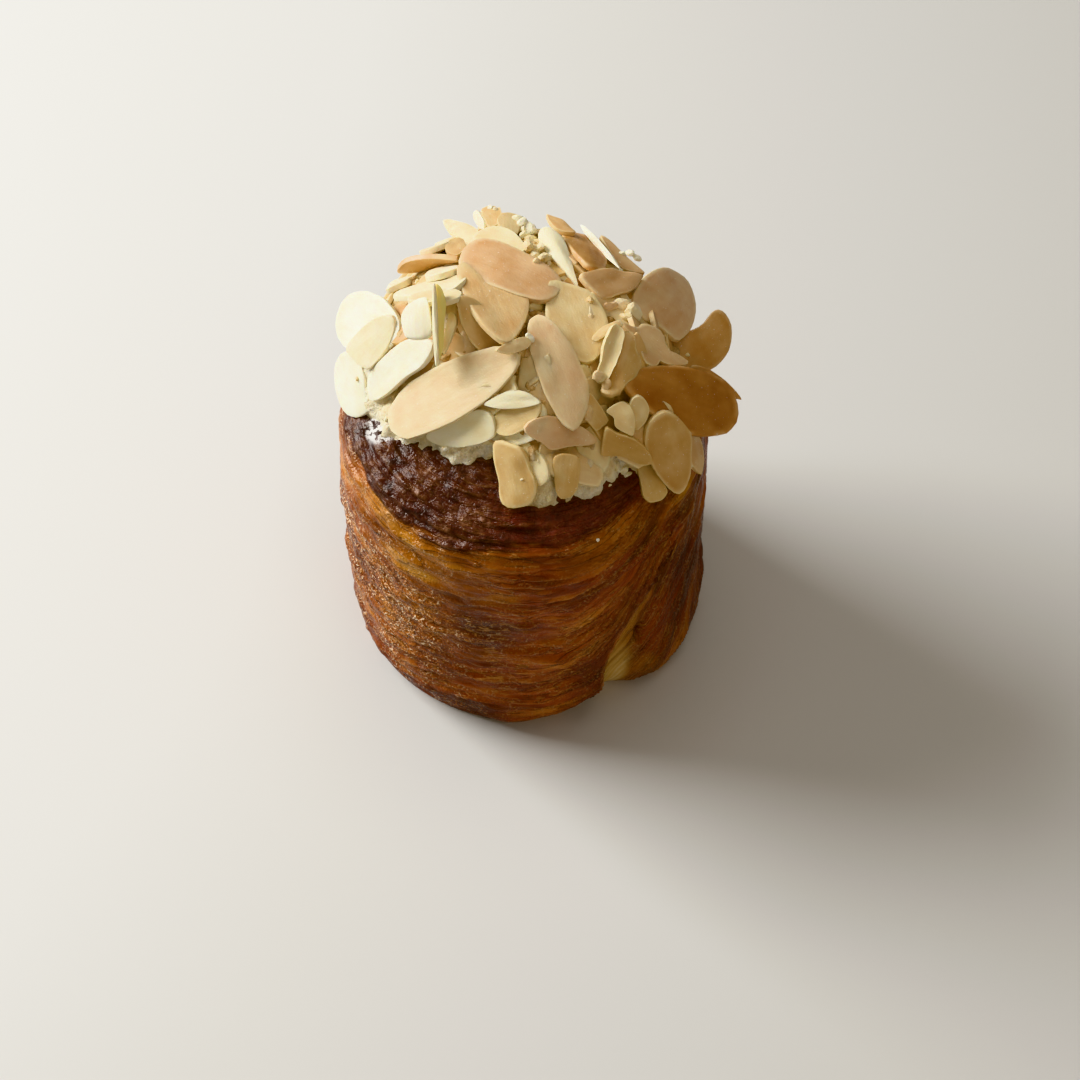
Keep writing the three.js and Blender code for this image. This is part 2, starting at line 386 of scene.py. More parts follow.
drum = {
    "radius": 35.5,
    "footRadius": 33.6,
    "footRise": 7.0,
    "shoulder": 52.0,                        # height where the side starts to turn in
    "height": 67.0,
    "shoulderPower": 2.4,
    "oval": 0.5,
    "rows": 0.365,                           # spacing of the rows up the side
    "seenTo": 17.0,                          # radius on top where the heap hides the crust
    "hiddenRows": 12,
    "baseRows": 8,
    "turns": 420,                            # points round the drum
    "foldAngle": 26.0,                       # degrees right of the front, at the foot
    "foldFrom": 15.0,                        # height where it starts to sweep to the right
    "foldSweep": 0.046,
    "foldPower": 1.88,
    "foldDepth": 4.9,
    "foldTop": 52.0,                         # height where the fold has closed
    "leanTop": 50,                           # height where the columns of points stop leaning with it
    "flapTuck": 5.0,                         # how far the foot of the flap left of the fold draws in
    "tuckRise": 15.0,
    "tuckReach": 32,                         # degrees
    "rightFoot": 1.3,                        # how far the foot stands out right of the fold
    "midHeight": 30,                         # where directions up the side are measured from
    "leftSink": 8.5,                         # how far the layers sink to the left, and up to where
    "sinkTop": 62,
    "frontRise": 0.64,                       # how steeply they rise towards the fold, and up to where
    "riseTop": 66,
    "steepness": 1.9,                        # slope of the layers beside the fold
    "steepFrom": 28.0,
    "steepTo": 165.0,                        # degrees where they run level again
    "seed": 7,
}


def drumRadius(height):
    flare = np.clip(1 - height / drum["footRise"], 0, 1) ** 2
    foot = drum["radius"] - (drum["radius"] - drum["footRadius"]) * flare
    rise = np.clip((height - drum["shoulder"]) / (drum["height"] - drum["shoulder"]), 0, 1)
    power = drum["shoulderPower"]
    return np.where(height < drum["footRise"], foot, drum["radius"] * (1 - rise ** power) ** (1 / power))


def drumProfile():
    wall = [(float(drumRadius(height)), height) for height in np.arange(0, drum["shoulder"], 0.05)]
    power = drum["shoulderPower"]
    for lean in np.linspace(0, math.pi / 2, 900):
        radius = drum["radius"] * math.cos(lean) ** (2 / power)
        rise = (drum["height"] - drum["shoulder"]) * math.sin(lean) ** (2 / power)
        wall.append((radius, drum["shoulder"] + rise))
    wall = np.array(wall)
    path = np.concatenate([[0], np.cumsum(np.linalg.norm(np.diff(wall, axis=0), axis=1))])
    seen = path[np.argmin(abs(wall[:, 0] - drum["seenTo"]))]
    hidden = np.linspace(seen, path[-1], drum["hiddenRows"])
    stops = np.concatenate([np.arange(0, seen, drum["rows"]), hidden])
    side = np.stack([np.interp(stops, path, wall[:, 0]), np.interp(stops, path, wall[:, 1])], 1)
    base = [(radius, 0) for radius in np.linspace(0, drum["footRadius"], drum["baseRows"])[:-1]]
    return np.concatenate([base, side]), wall, path


profile, wall, path = drumProfile()
crust = spinProfile("laminated_crust", profile, drum["turns"])
points = readPoints(crust)


def foldAngleAt(height):
    sweep = drum["foldSweep"] * np.maximum(height - drum["foldFrom"], 0) ** drum["foldPower"]
    return drum["foldAngle"] + sweep


# the columns of points lean with the fold, so that its edge runs along one of them
radius = np.hypot(points[:, 0], points[:, 1])
column = np.degrees(np.arctan2(points[:, 0], -points[:, 1]))
hold = between(column, (-90, drum["foldAngle"]), (drum["foldAngle"], 150))
lean = foldAngleAt(np.minimum(points[:, 2], drum["leanTop"])) - drum["foldAngle"]
column = np.radians(column + hold * lean)
points[:, 0] = radius * np.sin(column)
points[:, 1] = -radius * np.cos(column)
writePoints(crust, points)
outward = readNormals(crust)
around = np.arctan2(points[:, 0], -points[:, 1])          # 0 at the front, growing to the right
degrees = np.degrees(around)
height = points[:, 2]
wallAngle = np.arctan2(wall[:, 1] - drum["midHeight"], wall[:, 0])
spot = np.arctan2(height - drum["midHeight"], np.hypot(points[:, 0], points[:, 1]))
climb = np.interp(spot, wallAngle, path)                  # way up the side from the foot
onSide = smooth(climb, 0.2, 2.0)
ring = points.copy()
ring[:, 2] = 0

# where each spot lies in the winding: layers run level in front, sink to the left, rise steeply at the fold
drift = 2.0 * (roughGrain(ring / 19 + climb[:, None] / 50, drum["seed"]) - 0.5)
sink = drum["leftSink"] * (1 - np.clip(climb / drum["sinkTop"], 0, 1))
sink = sink * between(-degrees, (0, 65), (120, 180))
rise = drum["frontRise"] * smooth(degrees, 5, 54) ** 1.5
front = (climb + sink - drum["riseTop"] * rise) / (1 - rise)
past = degrees - foldAngleAt(height)
steepRun = math.radians(drum["steepTo"] - drum["steepFrom"]) * drum["radius"] * drum["steepness"] / 2.5
left = np.clip((drum["steepTo"] - degrees) / (drum["steepTo"] - drum["steepFrom"]), 0, 1)
behind = climb + steepRun * left ** 2.5
layer = np.where((past < 0) | (degrees < 0), front, behind) + drift

# the fold: a crisp edge on its left, and a recess that eases out to the right and opens at the foot
opening = np.clip(1 - height / drum["foldTop"], 0, 1)
recess = between(past, (-0.5, 1.0), (3, 25)) * opening
tuck = np.clip((past + drum["tuckReach"]) / drum["tuckReach"], 0, 1) ** 1.3
tuck = tuck * np.clip(1 - height / drum["tuckRise"], 0, 1) ** 2
tuck = drum["flapTuck"] * tuck * (1 - smooth(past, -0.5, 1.0)) * (degrees > -60)
rightFoot = drum["rightFoot"] * between(degrees, (45, 65), (110, 140)) * (1 - smooth(height, 8, 16))
inset = (drum["foldDepth"] * recess + tuck - rightFoot) * np.clip(radius / drum["footRadius"], 0, 1)
points[:, :2] *= (1 - inset / np.maximum(radius, 1))[:, None]


# shingled layers: each lies over the next with a thin torn lip
def shingles(layer, thickest, thinnest, runLength, seed):
    draw = np.random.default_rng(seed)
    edges = np.cumsum(draw.uniform(thinnest, thickest, 320)) - 180
    number = np.searchsorted(edges, layer) - 1
    share = (layer - edges[number]) / (edges[number + 1] - edges[number])
    strength = draw.uniform(0.3, 1.0, 320)[number]
    along = grain(np.stack([ring[:, 0] / runLength, ring[:, 1] / runLength, number * 1.7], 1), seed + 3)
    lip = strength * smooth(along, 0.25, 0.7)
    rampUp = smooth(share, 0.0, 0.2) * (1 - share) ** 0.8
    # gives the relief, the lip line where a highlight is painted, and the strip just below it where shade is
    # painted
    return lip * rampUp, lip * (1 - smooth(abs(share - 0.2), 0.0, 0.2)), lip * (1 - smooth(share, 0.0, 0.16))


waver = 1.6 * (grain(ring / 9 + climb[:, None] / 25, 5) - 0.5)
broad, broadEdge, broadGap = shingles(layer, 4.8, 1.8, 11, drum["seed"] + 1)
narrow, narrowEdge, narrowGap = shingles(layer + 0.09 * points[:, 0] + waver, 2.2, 0.9, 6, drum["seed"] + 2)
strand = roughGrain(np.stack([ring[:, 0] / 6, ring[:, 1] / 6, layer * 0.8], 1), drum["seed"] + 9, 2)
thread = grain(np.stack([ring[:, 0] / 2.6, ring[:, 1] / 2.6, (layer - waver) * 1.3], 1), drum["seed"] + 14)
bulge = roughGrain(points / 3.4, 37, 2)
pimple = grain(points / 0.95, 31)
blister = roughGrain(points / 1.7, 33, 2)

# zones of the bake and of the painted light, in degrees from the front (left is below zero) and millimetres
# up the side
seen = pixelsOf(points)
facing = (outward @ -viewDirection > 0) & (points[:, 1] < 8)


# patches of the bake in pixels of the photograph: middle, half width, half height and turn in degrees
bakePatches = {
    "sweep": ((628, 528), 95, 20, -34),      # gold that rises to the right
    "frontStreak": ((500, 599), 26, 6, -8),
    "foldFoot": ((647, 664), 17, 14, 0),
    "upperRight": ((690, 503), 15, 32, 0),
    "deepAmber": ((384, 530), 20, 18, 35),
    "dough": ((612, 664), 16, 28, 20),       # under-baked, at the foot of the fold
    "pocket": ((639, 631), 5, 10, 12),       # hollow under a torn layer, painted dark as its shade
    "sugar": ((378, 428), 18, 17, 35),
}


def patch(name):
    middle, halfWidth, halfHeight, turn = bakePatches[name]
    away = seen - np.array(middle)
    cosine, sine = math.cos(math.radians(turn)), math.sin(math.radians(turn))
    across = (away[:, 0] * cosine + away[:, 1] * sine) / halfWidth
    down = (away[:, 1] * cosine - away[:, 0] * sine) / halfHeight
    return np.where(facing, 1 - smooth(np.hypot(across, down), 0.55, 1.15), 0)


# the lower edge of the dark top, in pixels of the photograph
darkEdge = np.array([(340, 418), (350, 446), (364, 476), (380, 501), (403, 524), (425, 537), (447, 545),
                     (490, 551), (521, 550), (555, 547), (585, 540), (614, 523), (639, 504), (665, 480),
                     (690, 456)])
blotch = roughGrain(points / 14, 47, 2)
topEdge = 58.8 + 3 * between(degrees, (40, 70), (110, 140))
aboveEdge = (np.interp(seen[:, 0], darkEdge[:, 0], darkEdge[:, 1]) - seen[:, 1]) / 5.3
aboveEdge = blend(climb - topEdge, aboveEdge, between(degrees, (-95, -75), (48, 72)))
aboveEdge = aboveEdge + 3.4 * (strand - 0.5) + 1.5 * (grain(ring / 11, 40) - 0.5)
darkTop = smooth(aboveEdge, -0.5, 0.5 + 1.6 * smooth(degrees, 0, 35))
leftBand = smooth(layer, 36, 50) * between(degrees, (-150, -80), (-45, 8))
leftBand = leftBand * (0.45 + 0.55 * smooth(degrees, -58, -30))
backBand = smooth(blotch, 0.5, 0.7) * smooth(climb, 12, 30) * smooth(abs(degrees), 100, 130)
sweepBand = 0.5 * patch("sweep") + 0.5 * patch("frontStreak")
sweepBand = sweepBand + 0.8 * patch("foldFoot") + 0.4 * patch("upperRight")
goldBand = np.clip(np.maximum(leftBand, 0.7 * backBand) + sweepBand, 0, 1) * (1 - darkTop)
# where glints are painted on the crust, over small bumps and an amber tone: the left side and patches at the
# back
glintZone = between(degrees, (-110, -80), (-34, -4)) * (1 - 0.8 * smooth(climb, 38, 48))
glintZone = glintZone * (0.4 + 0.6 * smooth(climb, 8, 26))
glintZone = np.maximum(glintZone, 0.3 * smooth(abs(degrees), 90, 120) * smooth(blotch, 0.4, 0.6))
hidden = 0.3 + 0.97 * drum["foldDepth"] * opening         # degrees that the flap hides behind its edge
paleDough = patch("dough") * smooth(past, 0.2, 1.0) * (0.55 + 0.45 * smooth(seen[:, 1], 645, 672))
pocket = patch("pocket")
streaks = smooth(past, 0.2, 1.0) * (1 - smooth(past - hidden, 5, 13)) * (1 - 0.7 * smooth(height, 32, 48))
sugar = patch("sugar") * smooth(climb, 57, 62)

# how far each form of the relief stands out, in millimetres
reliefOf = {
    "broad": 1.1,                            # layers
    "narrow": 0.6,
    "strand": 0.8,
    "thread": 0.35,
    "bulge": 0.8,
    "blister": 1.1,                          # on the dark top
    "pimple": 0.45,                          # in the glint zone
    "flap": 0.9,
    "pocket": 2.0,
    "rightSwell": 0.4,
    "unevenness": 0.9,
    "drawnIn": 0.4,                          # the whole side, so that its mean stays on the drum
}
low = between(climb, (2, 14), (40, 56))
flap = between(past, (-13, -3), (-0.5, 1.0)) * low
# the flap's edge: the relief calms there and a highlight is painted along it
flapEdge = (1 - smooth(abs(past + 0.5), 0.3, 1.0)) * low
# painted shadow in the crease just right of the fold edge
foldCreaseShade = smooth(past, 0.0, 0.6) * (1 - smooth(past - hidden, 0.2, 1.6)) * smooth(height, 22, 34) * (degrees > 0)
shaded = between(past, (-16, -4), (-1.2, -0.5)) * (1 - smooth(height, 38, 52)) * (degrees > 0)
calm = 1 - 0.35 * smooth(past, -2, 6) * (1 - smooth(degrees, 90, 130))
relief = reliefOf["broad"] * broad + reliefOf["narrow"] * narrow
relief = relief + reliefOf["strand"] * (strand - 0.5) + reliefOf["thread"] * (thread - 0.5)
relief = relief * calm + reliefOf["bulge"] * (bulge - 0.5)
relief = relief * (1 - 0.6 * paleDough) * (1 - 0.5 * flapEdge)
bubbly = 1 - 0.75 * smooth(degrees, -22, 12)
relief = relief + reliefOf["blister"] * (blister - 0.5) * darkTop * bubbly
relief = relief + reliefOf["pimple"] * (pimple - 0.5) * glintZone
relief = relief + reliefOf["flap"] * flap - reliefOf["pocket"] * pocket
swell = between(degrees, (55, 80), (110, 140)) * (1 - smooth(abs(height - 28), 8, 22))
relief = relief + reliefOf["rightSwell"] * swell + drum["oval"] * np.sin(2 * around + 0.6)
relief = relief + reliefOf["unevenness"] * (roughGrain(points / 18, 51) - 0.5) - reliefOf["drawnIn"]
points = points + outward * (relief * onSide)[:, None]
points[:, 2] = np.maximum(points[:, 2], 0)
writePoints(crust, points)

ruffle = 1.4 * (roughGrain(points / 5.0, 57, 2) - 0.5)
keepVector(crust, "windingPlace", np.stack([points[:, 0], points[:, 1], layer + ruffle], 1))
keepColour(crust, "bakeAndGlintZone", darkTop, goldBand, paleDough, glintZone)
# darker tone on the right side, the left foot and a deep amber patch, together with the painted shade on the
# flap beside the fold
deepToneAndShade = smooth(past - hidden, 13, 19) * (1 - smooth(degrees, 105, 130)) * (1 - smooth(height, 30, 42))
deepToneAndShade = deepToneAndShade * np.maximum(smooth(height, 8, 18), smooth(degrees, 54, 64))
deepToneAndShade = deepToneAndShade * (0.05 + 0.8 * smooth(degrees, 50, 62))
foot = (1 - smooth(height, 4, 20)) * between(degrees, (-100, -70), (-12, 14))
deepToneAndShade = np.clip(shaded + deepToneAndShade + 0.6 * foot + 0.65 * patch("deepAmber"), 0, 1)
keepColour(crust, "bakeDetailLightAndShade", bubbly, np.clip(flapEdge, 0, 1), np.clip(foldCreaseShade, 0, 1), deepToneAndShade)
# painted highlights on the layer lips
edge = np.clip(broadEdge + 0.7 * narrowEdge, 0, 1)
# painted shade in the gaps under the layer lips and in the pocket
gap = np.clip(0.9 * broadGap + 0.6 * narrowGap + pocket, 0, 2)
keepColour(crust, "layerEdge", edge, gap, np.clip(sugar, 0, 1), np.clip(streaks, 0, 1))
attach(crust, "root")
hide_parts("pastry")
print("crust", len(crust.data.polygons), "faces")


# almond cream: the lumpy mound that holds the slices

mound = {
    "middle": (1.5, 11.0),
    "rim": 61.2,
    "crown": 85.5,
    "power": 3.2,
    "roundness": 0.8,
    "sunk": 1.7,                             # how far the cream lies under the slices
    "rings": 92,
    "turns": 220,
    "tuck": 5.0,                             # how far its underside goes into the crust
    "tuckIn": 1.5,                           # and inwards
    "lumps": 2.0,                            # how far each form stands out
    "crumbly": 2.4,
    "ragged": 2.6,
    "drawnIn": 0.6,
    "seed": 19,
}


# degrees round from the front and how far the cream reaches there: a bay at the left, a lobe in the middle
creamEdge = np.array([(-180, 34), (-100, 34), (-82, 29.5), (-62, 25), (-40, 21.2), (-19, 18.6), (-9, 22.6),
                      (0, 25.6), (30, 27.4), (48, 28), (64, 34), (180, 34)])


def crustTop(radius):
    power = drum["shoulderPower"]
    inside = np.clip(1 - (radius / drum["radius"]) ** power, 0, 1)
    return drum["shoulder"] + (drum["height"] - drum["shoulder"]) * inside ** (1 / power)


def moundPlace(angle, share):
    reach = np.interp(np.degrees(angle), creamEdge[:, 0], creamEdge[:, 1])
    reach = reach + 0.6 * (np.sin(7 * angle) + np.sin(11 * angle + 1))
    across = blend(mound["middle"][0], reach * np.sin(angle), share)
    deep = blend(mound["middle"][1], -reach * np.cos(angle), share)
    fall = 1 - (1 - np.clip(share, 0, 1) ** mound["power"]) ** mound["roundness"]
    rim = np.maximum(mound["rim"], crustTop(reach) - 1.2)
    tall = blend(mound["crown"], rim, fall)
    return np.stack([across, deep, tall], -1)


def moundSpot(turn, share):
    return moundPlace(np.array([turn]), np.array([share]))[0]


rings = np.linspace(0, 1, mound["rings"])
cream = spinProfile("almond_cream", [(10 * share, 0) for share in rings] +
                    [(10 + share, -share) for share in (0.25, 0.5, 0.75, 1)] + [(0, -1.4)], mound["turns"])
flat = readPoints(cream)
angle = np.arctan2(flat[:, 0], -flat[:, 1])
share = np.hypot(flat[:, 0], flat[:, 1]) / 10
under = flat[:, 2] < -0.1
below = np.where(under, -flat[:, 2], 0)
body = moundPlace(angle, np.minimum(share, 1))
lumps = roughGrain(body / 5.5, mound["seed"], 3) - 0.5
crumbly = abs(2 * roughGrain(body / 2.1, mound["seed"] + 5, 2) - 1)
away = unit(body - np.array([mound["middle"][0], mound["middle"][1], 50]))
ragged = roughGrain(body * np.array([1, 1, 0]) / 3.2, mound["seed"] + 8, 2) - 0.5
ragged = ragged * smooth(share, 0.8, 1)
swell = mound["lumps"] * lumps + mound["crumbly"] * crumbly + mound["ragged"] * ragged - mound["drawnIn"]
swell = swell - mound["sunk"] * (1 - smooth(share, 0.86, 1))
body = body + away * swell[:, None]
body[:, 2] -= mound["tuck"] * np.minimum(below, 1)
inward = np.minimum(below, 1) * mound["tuckIn"]
body[:, :2] -= unit(body[:, :2] + 1e-9) * inward[:, None]
core = under & (share < 0.5)
body[core] = (mound["middle"][0], mound["middle"][1], mound["rim"] - mound["tuck"] - 2)
writePoints(cream, body)
keepColour(cream, "creamTone", smooth(share + 0.12 * lumps, 0.84, 0.94), 0, 0)
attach(cream, "root")
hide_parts("almond_topping")
print("cream", len(cream.data.polygons), "faces")


# the heap so far, as the distance of its surface from a point inside it, by direction

heapOf = {
    "middle": np.array([1.5, 6.0, 46.0]),
    "cell": math.radians(1.5),
    "rounds": 240,
    "rises": 120,
    "eggMiddle": np.array([1.5, 8, 56]),     # the egg shape that the slices lie along
    "eggRadii": np.array([34.0, 33, 29]),
    "crown": np.array([1.5, 6, 72]),
    "farthest": 900,                         # how far a line towards the heap is followed
    "step": 0.4,
}
heap = np.zeros((heapOf["rounds"], heapOf["rises"]))


def heapSpot(points):
    offset = points - heapOf["middle"]
    distance = np.linalg.norm(offset, axis=-1)
    turn = np.arctan2(offset[..., 1], offset[..., 0])
    tilt = np.arcsin(np.clip(offset[..., 2] / np.maximum(distance, 1e-6), -1, 1))
    column = np.floor(turn / heapOf["cell"]).astype(int) % heapOf["rounds"]
    row = np.clip(np.floor((tilt + math.pi / 2) / heapOf["cell"]).astype(int), 0, heapOf["rises"] - 1)
    return column, row, distance


def addToHeap(points):
    column, row, distance = heapSpot(points.reshape(-1, 3))
    np.maximum.at(heap, (column, row), distance)


def heapNormal(point):
    return unit((point - heapOf["eggMiddle"]) / heapOf["eggRadii"] ** 2)


# where a line first meets the heap, or else passes closest to its crown
def meetHeap(origin, line):
    steps = origin + line * np.arange(0, heapOf["farthest"], heapOf["step"])[:, None]
    column, row, distance = heapSpot(steps)
    inside = np.nonzero(distance < heap[column, row])[0]
    nearest = np.argmin(np.linalg.norm(steps - heapOf["crown"], axis=1))
    return steps[inside[0]] if len(inside) else steps[nearest]


addToHeap(readPoints(crust))
addToHeap(readPoints(cream))
bareHeap = heap.copy()                       # before any slice lies on it


# how thick the slices lie over a spot
def sliceCover(spot):
    column, row, distance = heapSpot(spot)
    return heap[column, row] - bareHeap[column, row]


# sliced almonds: one slice is cut as a blank, then each copy gets its own outline, curl and toasting

sliceOf = {
    "radius": 8.0,                           # of the blank
    "sides": 30,
    "thickness": 1.2,
    "roundOver": 0.16,
    "rings": (1.1, 2.2, 2.2),                # widths of the rings of faces, from the rim inwards
    "rimPull": 0.36,                         # how round a drawn rim runs through its corners
    "slide": (-7, 16, 0.25),                 # places tried along a slice's line: from, to and step
    "dig": 0.5,                              # how far a slice may press into what carries it
    "mostAir": 6,                            # air under a slice counts up to this
    "sharpFrom": 38,                         # degrees between faces that stay a sharp edge
    "seed": 23,
}


def cutBlank():
    letGo()
    bpy.ops.mesh.primitive_circle_add(vertices=sliceOf["sides"], radius=sliceOf["radius"] * mm,
                                      fill_type="NGON")
    blank = bpy.context.object
    blank.name = "slice_blank"
    bpy.ops.object.mode_set(mode="EDIT")
    bpy.ops.mesh.select_all(action="SELECT")
    for ringWidth in sliceOf["rings"]:
        bpy.ops.mesh.inset(thickness=ringWidth * mm)
    bpy.ops.mesh.poke()
    bpy.ops.mesh.select_all(action="SELECT")
    bpy.ops.mesh.extrude_region_move(TRANSFORM_OT_translate={"value": (0, 0, sliceOf["thickness"] * mm)})
    bpy.ops.mesh.select_all(action="SELECT")
    bpy.ops.mesh.normals_make_consistent(inside=False)
    bpy.ops.mesh.select_mode(type="EDGE")
    bpy.ops.mesh.select_all(action="DESELECT")
    bpy.ops.object.mode_set(mode="OBJECT")
    corners = readPoints(blank)
    for edge in blank.data.edges:
        first, second = corners[list(edge.vertices)]
        onRim = min(np.hypot(*first[:2]), np.hypot(*second[:2])) > sliceOf["radius"] - 0.1
        edge.select = bool(onRim and abs(first[2] - second[2]) < 0.01)
    bpy.ops.object.mode_set(mode="EDIT")
    bpy.ops.mesh.bevel(offset=sliceOf["roundOver"] * mm, segments=2, affect="EDGES")
    bpy.ops.object.mode_set(mode="OBJECT")
    shape = readPoints(blank)
    faces = readFaces(blank)
    bpy.data.objects.remove(blank)
    shape[:, :2] /= sliceOf["radius"]
    shape[:, 2] = shape[:, 2] / sliceOf["thickness"] - 0.5
    return shape, faces


blankPoints, blankFaces = cutBlank()
print("slice blank", len(blankFaces), "faces")
discTurn, discOut = np.meshgrid(np.linspace(0, 2 * math.pi, 40, endpoint=False), np.linspace(0.05, 1, 14))
disc = np.stack([discOut * np.cos(discTurn), discOut * np.sin(discTurn), np.zeros_like(discTurn)], -1)
disc = disc.reshape(-1, 3)
feelers = disc[::5]

# outlines seen among the slices: how much the tip narrows, how square the ends are, and where an end is
# snapped off
outlines = {
    "whole": {"taper": 0.10, "point": 0.10, "square": 2.2},
    "leaf": {"taper": 0.12, "point": 0.55, "square": 2.0},
    "round": {"taper": 0.03, "point": 0.0, "square": 2.1},
    "snapped": {"taper": -0.05, "point": 0.0, "square": 2.3, "tip": 0.72},
    "stub": {"taper": 0.0, "point": 0.0, "square": 2.5, "tip": 0.7, "tail": 0.72},
    "shard": {"taper": 0.22, "point": 0.3, "square": 2.0, "tail": 0.55},
    "stick": {"taper": 0.0, "point": 0.25, "square": 2.6},
}


# a closed curve through drawn corners, with as many points as the blank has sides
def drawRim(corners):
    steps = np.linalg.norm(np.roll(corners, -1, axis=0) - corners, axis=1)
    extra = np.round(np.cumsum(steps) / steps.sum() * (sliceOf["sides"] - len(corners)))
    counts = 1 + np.diff(np.concatenate([[0], extra])).astype(int)
    rim = []
    for number, count in enumerate(counts):
        before, here, there, after = (corners[(number + step) % len(corners)] for step in (-1, 0, 1, 2))
        for share in np.arange(count) / count:
            leave = sliceOf["rimPull"] * (there - before) * share * (1 - share) ** 2
            arrive = sliceOf["rimPull"] * (after - here) * share ** 2 * (share - 1)
            rim.append(blend(here, there, share * share * (3 - 2 * share)) + leave + arrive)
    return np.array(rim)


# where a blank point lies along and across the slice, from -1 to 1, by a drawn rim or one of the outlines
def alongRim(out, turn, look):
    rim = look["rim"]
    place = turn / (2 * math.pi) % 1 * len(rim)
    first = np.floor(place).astype(int) % len(rim)
    spot = blend(rim[first], rim[(first + 1) % len(rim)], (place % 1)[:, None])
    return out * spot[:, 0], out * spot[:, 1]


def alongOutline(out, turn, look, key):
    outline = outlines[look["outline"]]
    power = 2 / outline["square"]
    along = out * np.sign(np.cos(turn)) * abs(np.cos(turn)) ** power
    across = out * np.sign(np.sin(turn)) * abs(np.sin(turn)) ** power
    across = across * (1 - outline["taper"] * along) * (1 - outline["point"] * np.maximum(along, 0) ** 2)
    wobble = grain(np.stack([2.2 * np.cos(turn), 2.2 * np.sin(turn), key], 1), 61) - 0.5
    along = along * (1 + 0.07 * wobble)
    across = across * (1 + 0.16 * wobble)
    for chip in look.get("chips", ()):                    # straight cuts across the rim
        toward = along * math.cos(chip[0]) + across * math.sin(chip[0])
        trim = np.minimum(1, chip[1] * np.maximum(out, 0.2) / np.maximum(toward, 0.01))
        along, across = along * trim, across * trim
    jag = 0.24 * (roughGrain(np.stack([across * 3.1, key, key], 1), 67, 2) - 0.5)
    inner = np.maximum(out, 0.2)
    if "tip" in outline:
        along = np.where(along > 0, np.minimum(along, (outline["tip"] + jag) * inner), along)
    if "tail" in outline:
        along = np.where(along < 0, np.maximum(along, -(outline["tail"] + jag) * inner), along)
    reachTip, reachTail = outline.get("tip", 1), outline.get("tail", 1)
    return (along - (reachTip - reachTail) / 2) * 2 / (reachTip + reachTail), across


# a flat blank point to the slice's own place: length along x, width along y, face up z
def shapeSlice(flat, look):
    out = np.hypot(flat[:, 0], flat[:, 1])
    turn = np.arctan2(flat[:, 1], flat[:, 0])
    key = np.full(len(flat), look["seed"] * 3.7)
    if "rim" in look:
        along, across = alongRim(out, turn, look)
    else:
        along, across = alongOutline(out, turn, look, key)
    ragged = roughGrain(np.stack([5 * np.cos(turn), 5 * np.sin(turn), key], 1), 63, 2) - 0.5
    ragged = 1 + look.get("ragged", 0.04) * out ** 3 * ragged
    along, across = along * ragged, across * ragged
    x = along * look["length"] / 2
    y = across * look["width"] / 2
    thick = look["thickness"] * (1 - 0.12 * out ** 3)
    z = flat[:, 2] * thick
    z = z + look["bow"] * look["length"] * (0.33 - along ** 2)
    z = z + look["cup"] * look["width"] * (0.33 - across ** 2)
    ripple = grain(np.stack([along * 1.8, across * 1.4, key + 9], 1), 71) - 0.5
    z = z + 0.035 * look["length"] * ripple
    twist = look["twist"] * along
    cosine, sine = np.cos(twist), np.sin(twist)
    return np.stack([x, y * cosine - z * sine, z * cosine + y * sine], 1)


def placeSlice(local, pose):
    return pose["middle"] + local @ np.stack([pose["long"], pose["wide"], pose["face"]])


# tips and rolls that are tried for a slice, in degrees
def leans(step):
    return [(tip * step, roll * step) for tip in range(-2, 3) for roll in range(-2, 3)]


# slides a slice along a line, from outside, until it touches the heap, and keeps the lean with the least air
def settle(look, poses, line):
    local = shapeSlice(feelers, look) if "own" not in poses[0] else None
    travel = np.arange(*sliceOf["slide"])
    best = None
    for pose in poses:
        shaped = local if local is not None else shapeSlice(feelers, dict(look, **pose["own"]))
        spread = placeSlice(shaped, pose)
        moved = spread[None] - line[None, None] * travel[:, None, None]
        column, row, distance = heapSpot(moved)
        air = distance - heap[column, row]
        touching = np.percentile(air, 2, axis=1)
        clear = np.nonzero(touching >= -sliceOf["dig"])[0]
        stop = clear[0] if len(clear) else len(travel) - 1
        score = np.clip(air[stop], 0, sliceOf["mostAir"]).mean() + pose["cost"]
        if best is None or score < best[0]:
            best = (score, dict(pose, middle=pose["middle"] - line * travel[stop]))
    return best[1]


sliceParts = newParts()
draw = np.random.default_rng(sliceOf["seed"])


def addSlice(look, pose):
    local = shapeSlice(blankPoints, look)
    out = np.hypot(blankPoints[:, 0], blankPoints[:, 1])
    tone = (look["toast"], out, look["amber"], look.get("glowThrough", 0))
    addPart(sliceParts, placeSlice(local, pose), blankFaces, tone, local + [0, 0, look["seed"] * 11.0])
    addToHeap(placeSlice(shapeSlice(disc + [0, 0, 0.5], look), pose))


# the heap's outline in the photograph, which no filling slice crosses
heapTop = np.array([(336, 330), (345, 296), (372, 288), (389, 276), (399, 264), (420, 246), (443, 219),
                    (477, 205), (500, 205), (546, 213), (582, 226), (643, 269), (694, 288), (731, 311),
                    (742, 360)])
heapLow = np.array([(336, 400), (357, 420), (372, 408), (386, 430), (420, 444), (490, 456), (506, 498),
                    (560, 504), (600, 494), (640, 484), (661, 502), (700, 474), (742, 402)])
outlineMargins = {"top": 13, "low": 5, "sides": -1}       # pixels
keptClear = {"middle": (528, 435), "radius": 14}          # pixels where no filling slice lies


def insideOutline(points):
    spots = pixelsOf(points)
    below = spots[:, 1] - np.interp(spots[:, 0], heapTop[:, 0], heapTop[:, 1])
    above = np.interp(spots[:, 0], heapLow[:, 0], heapLow[:, 1]) - spots[:, 1]
    sides = np.minimum(spots[:, 0] - heapTop[0, 0], heapTop[-1, 0] - spots[:, 0])
    room = {"top": below.min(), "low": above.min(), "sides": sides.min()}
    return all(room[side] > margin for side, margin in outlineMargins.items())


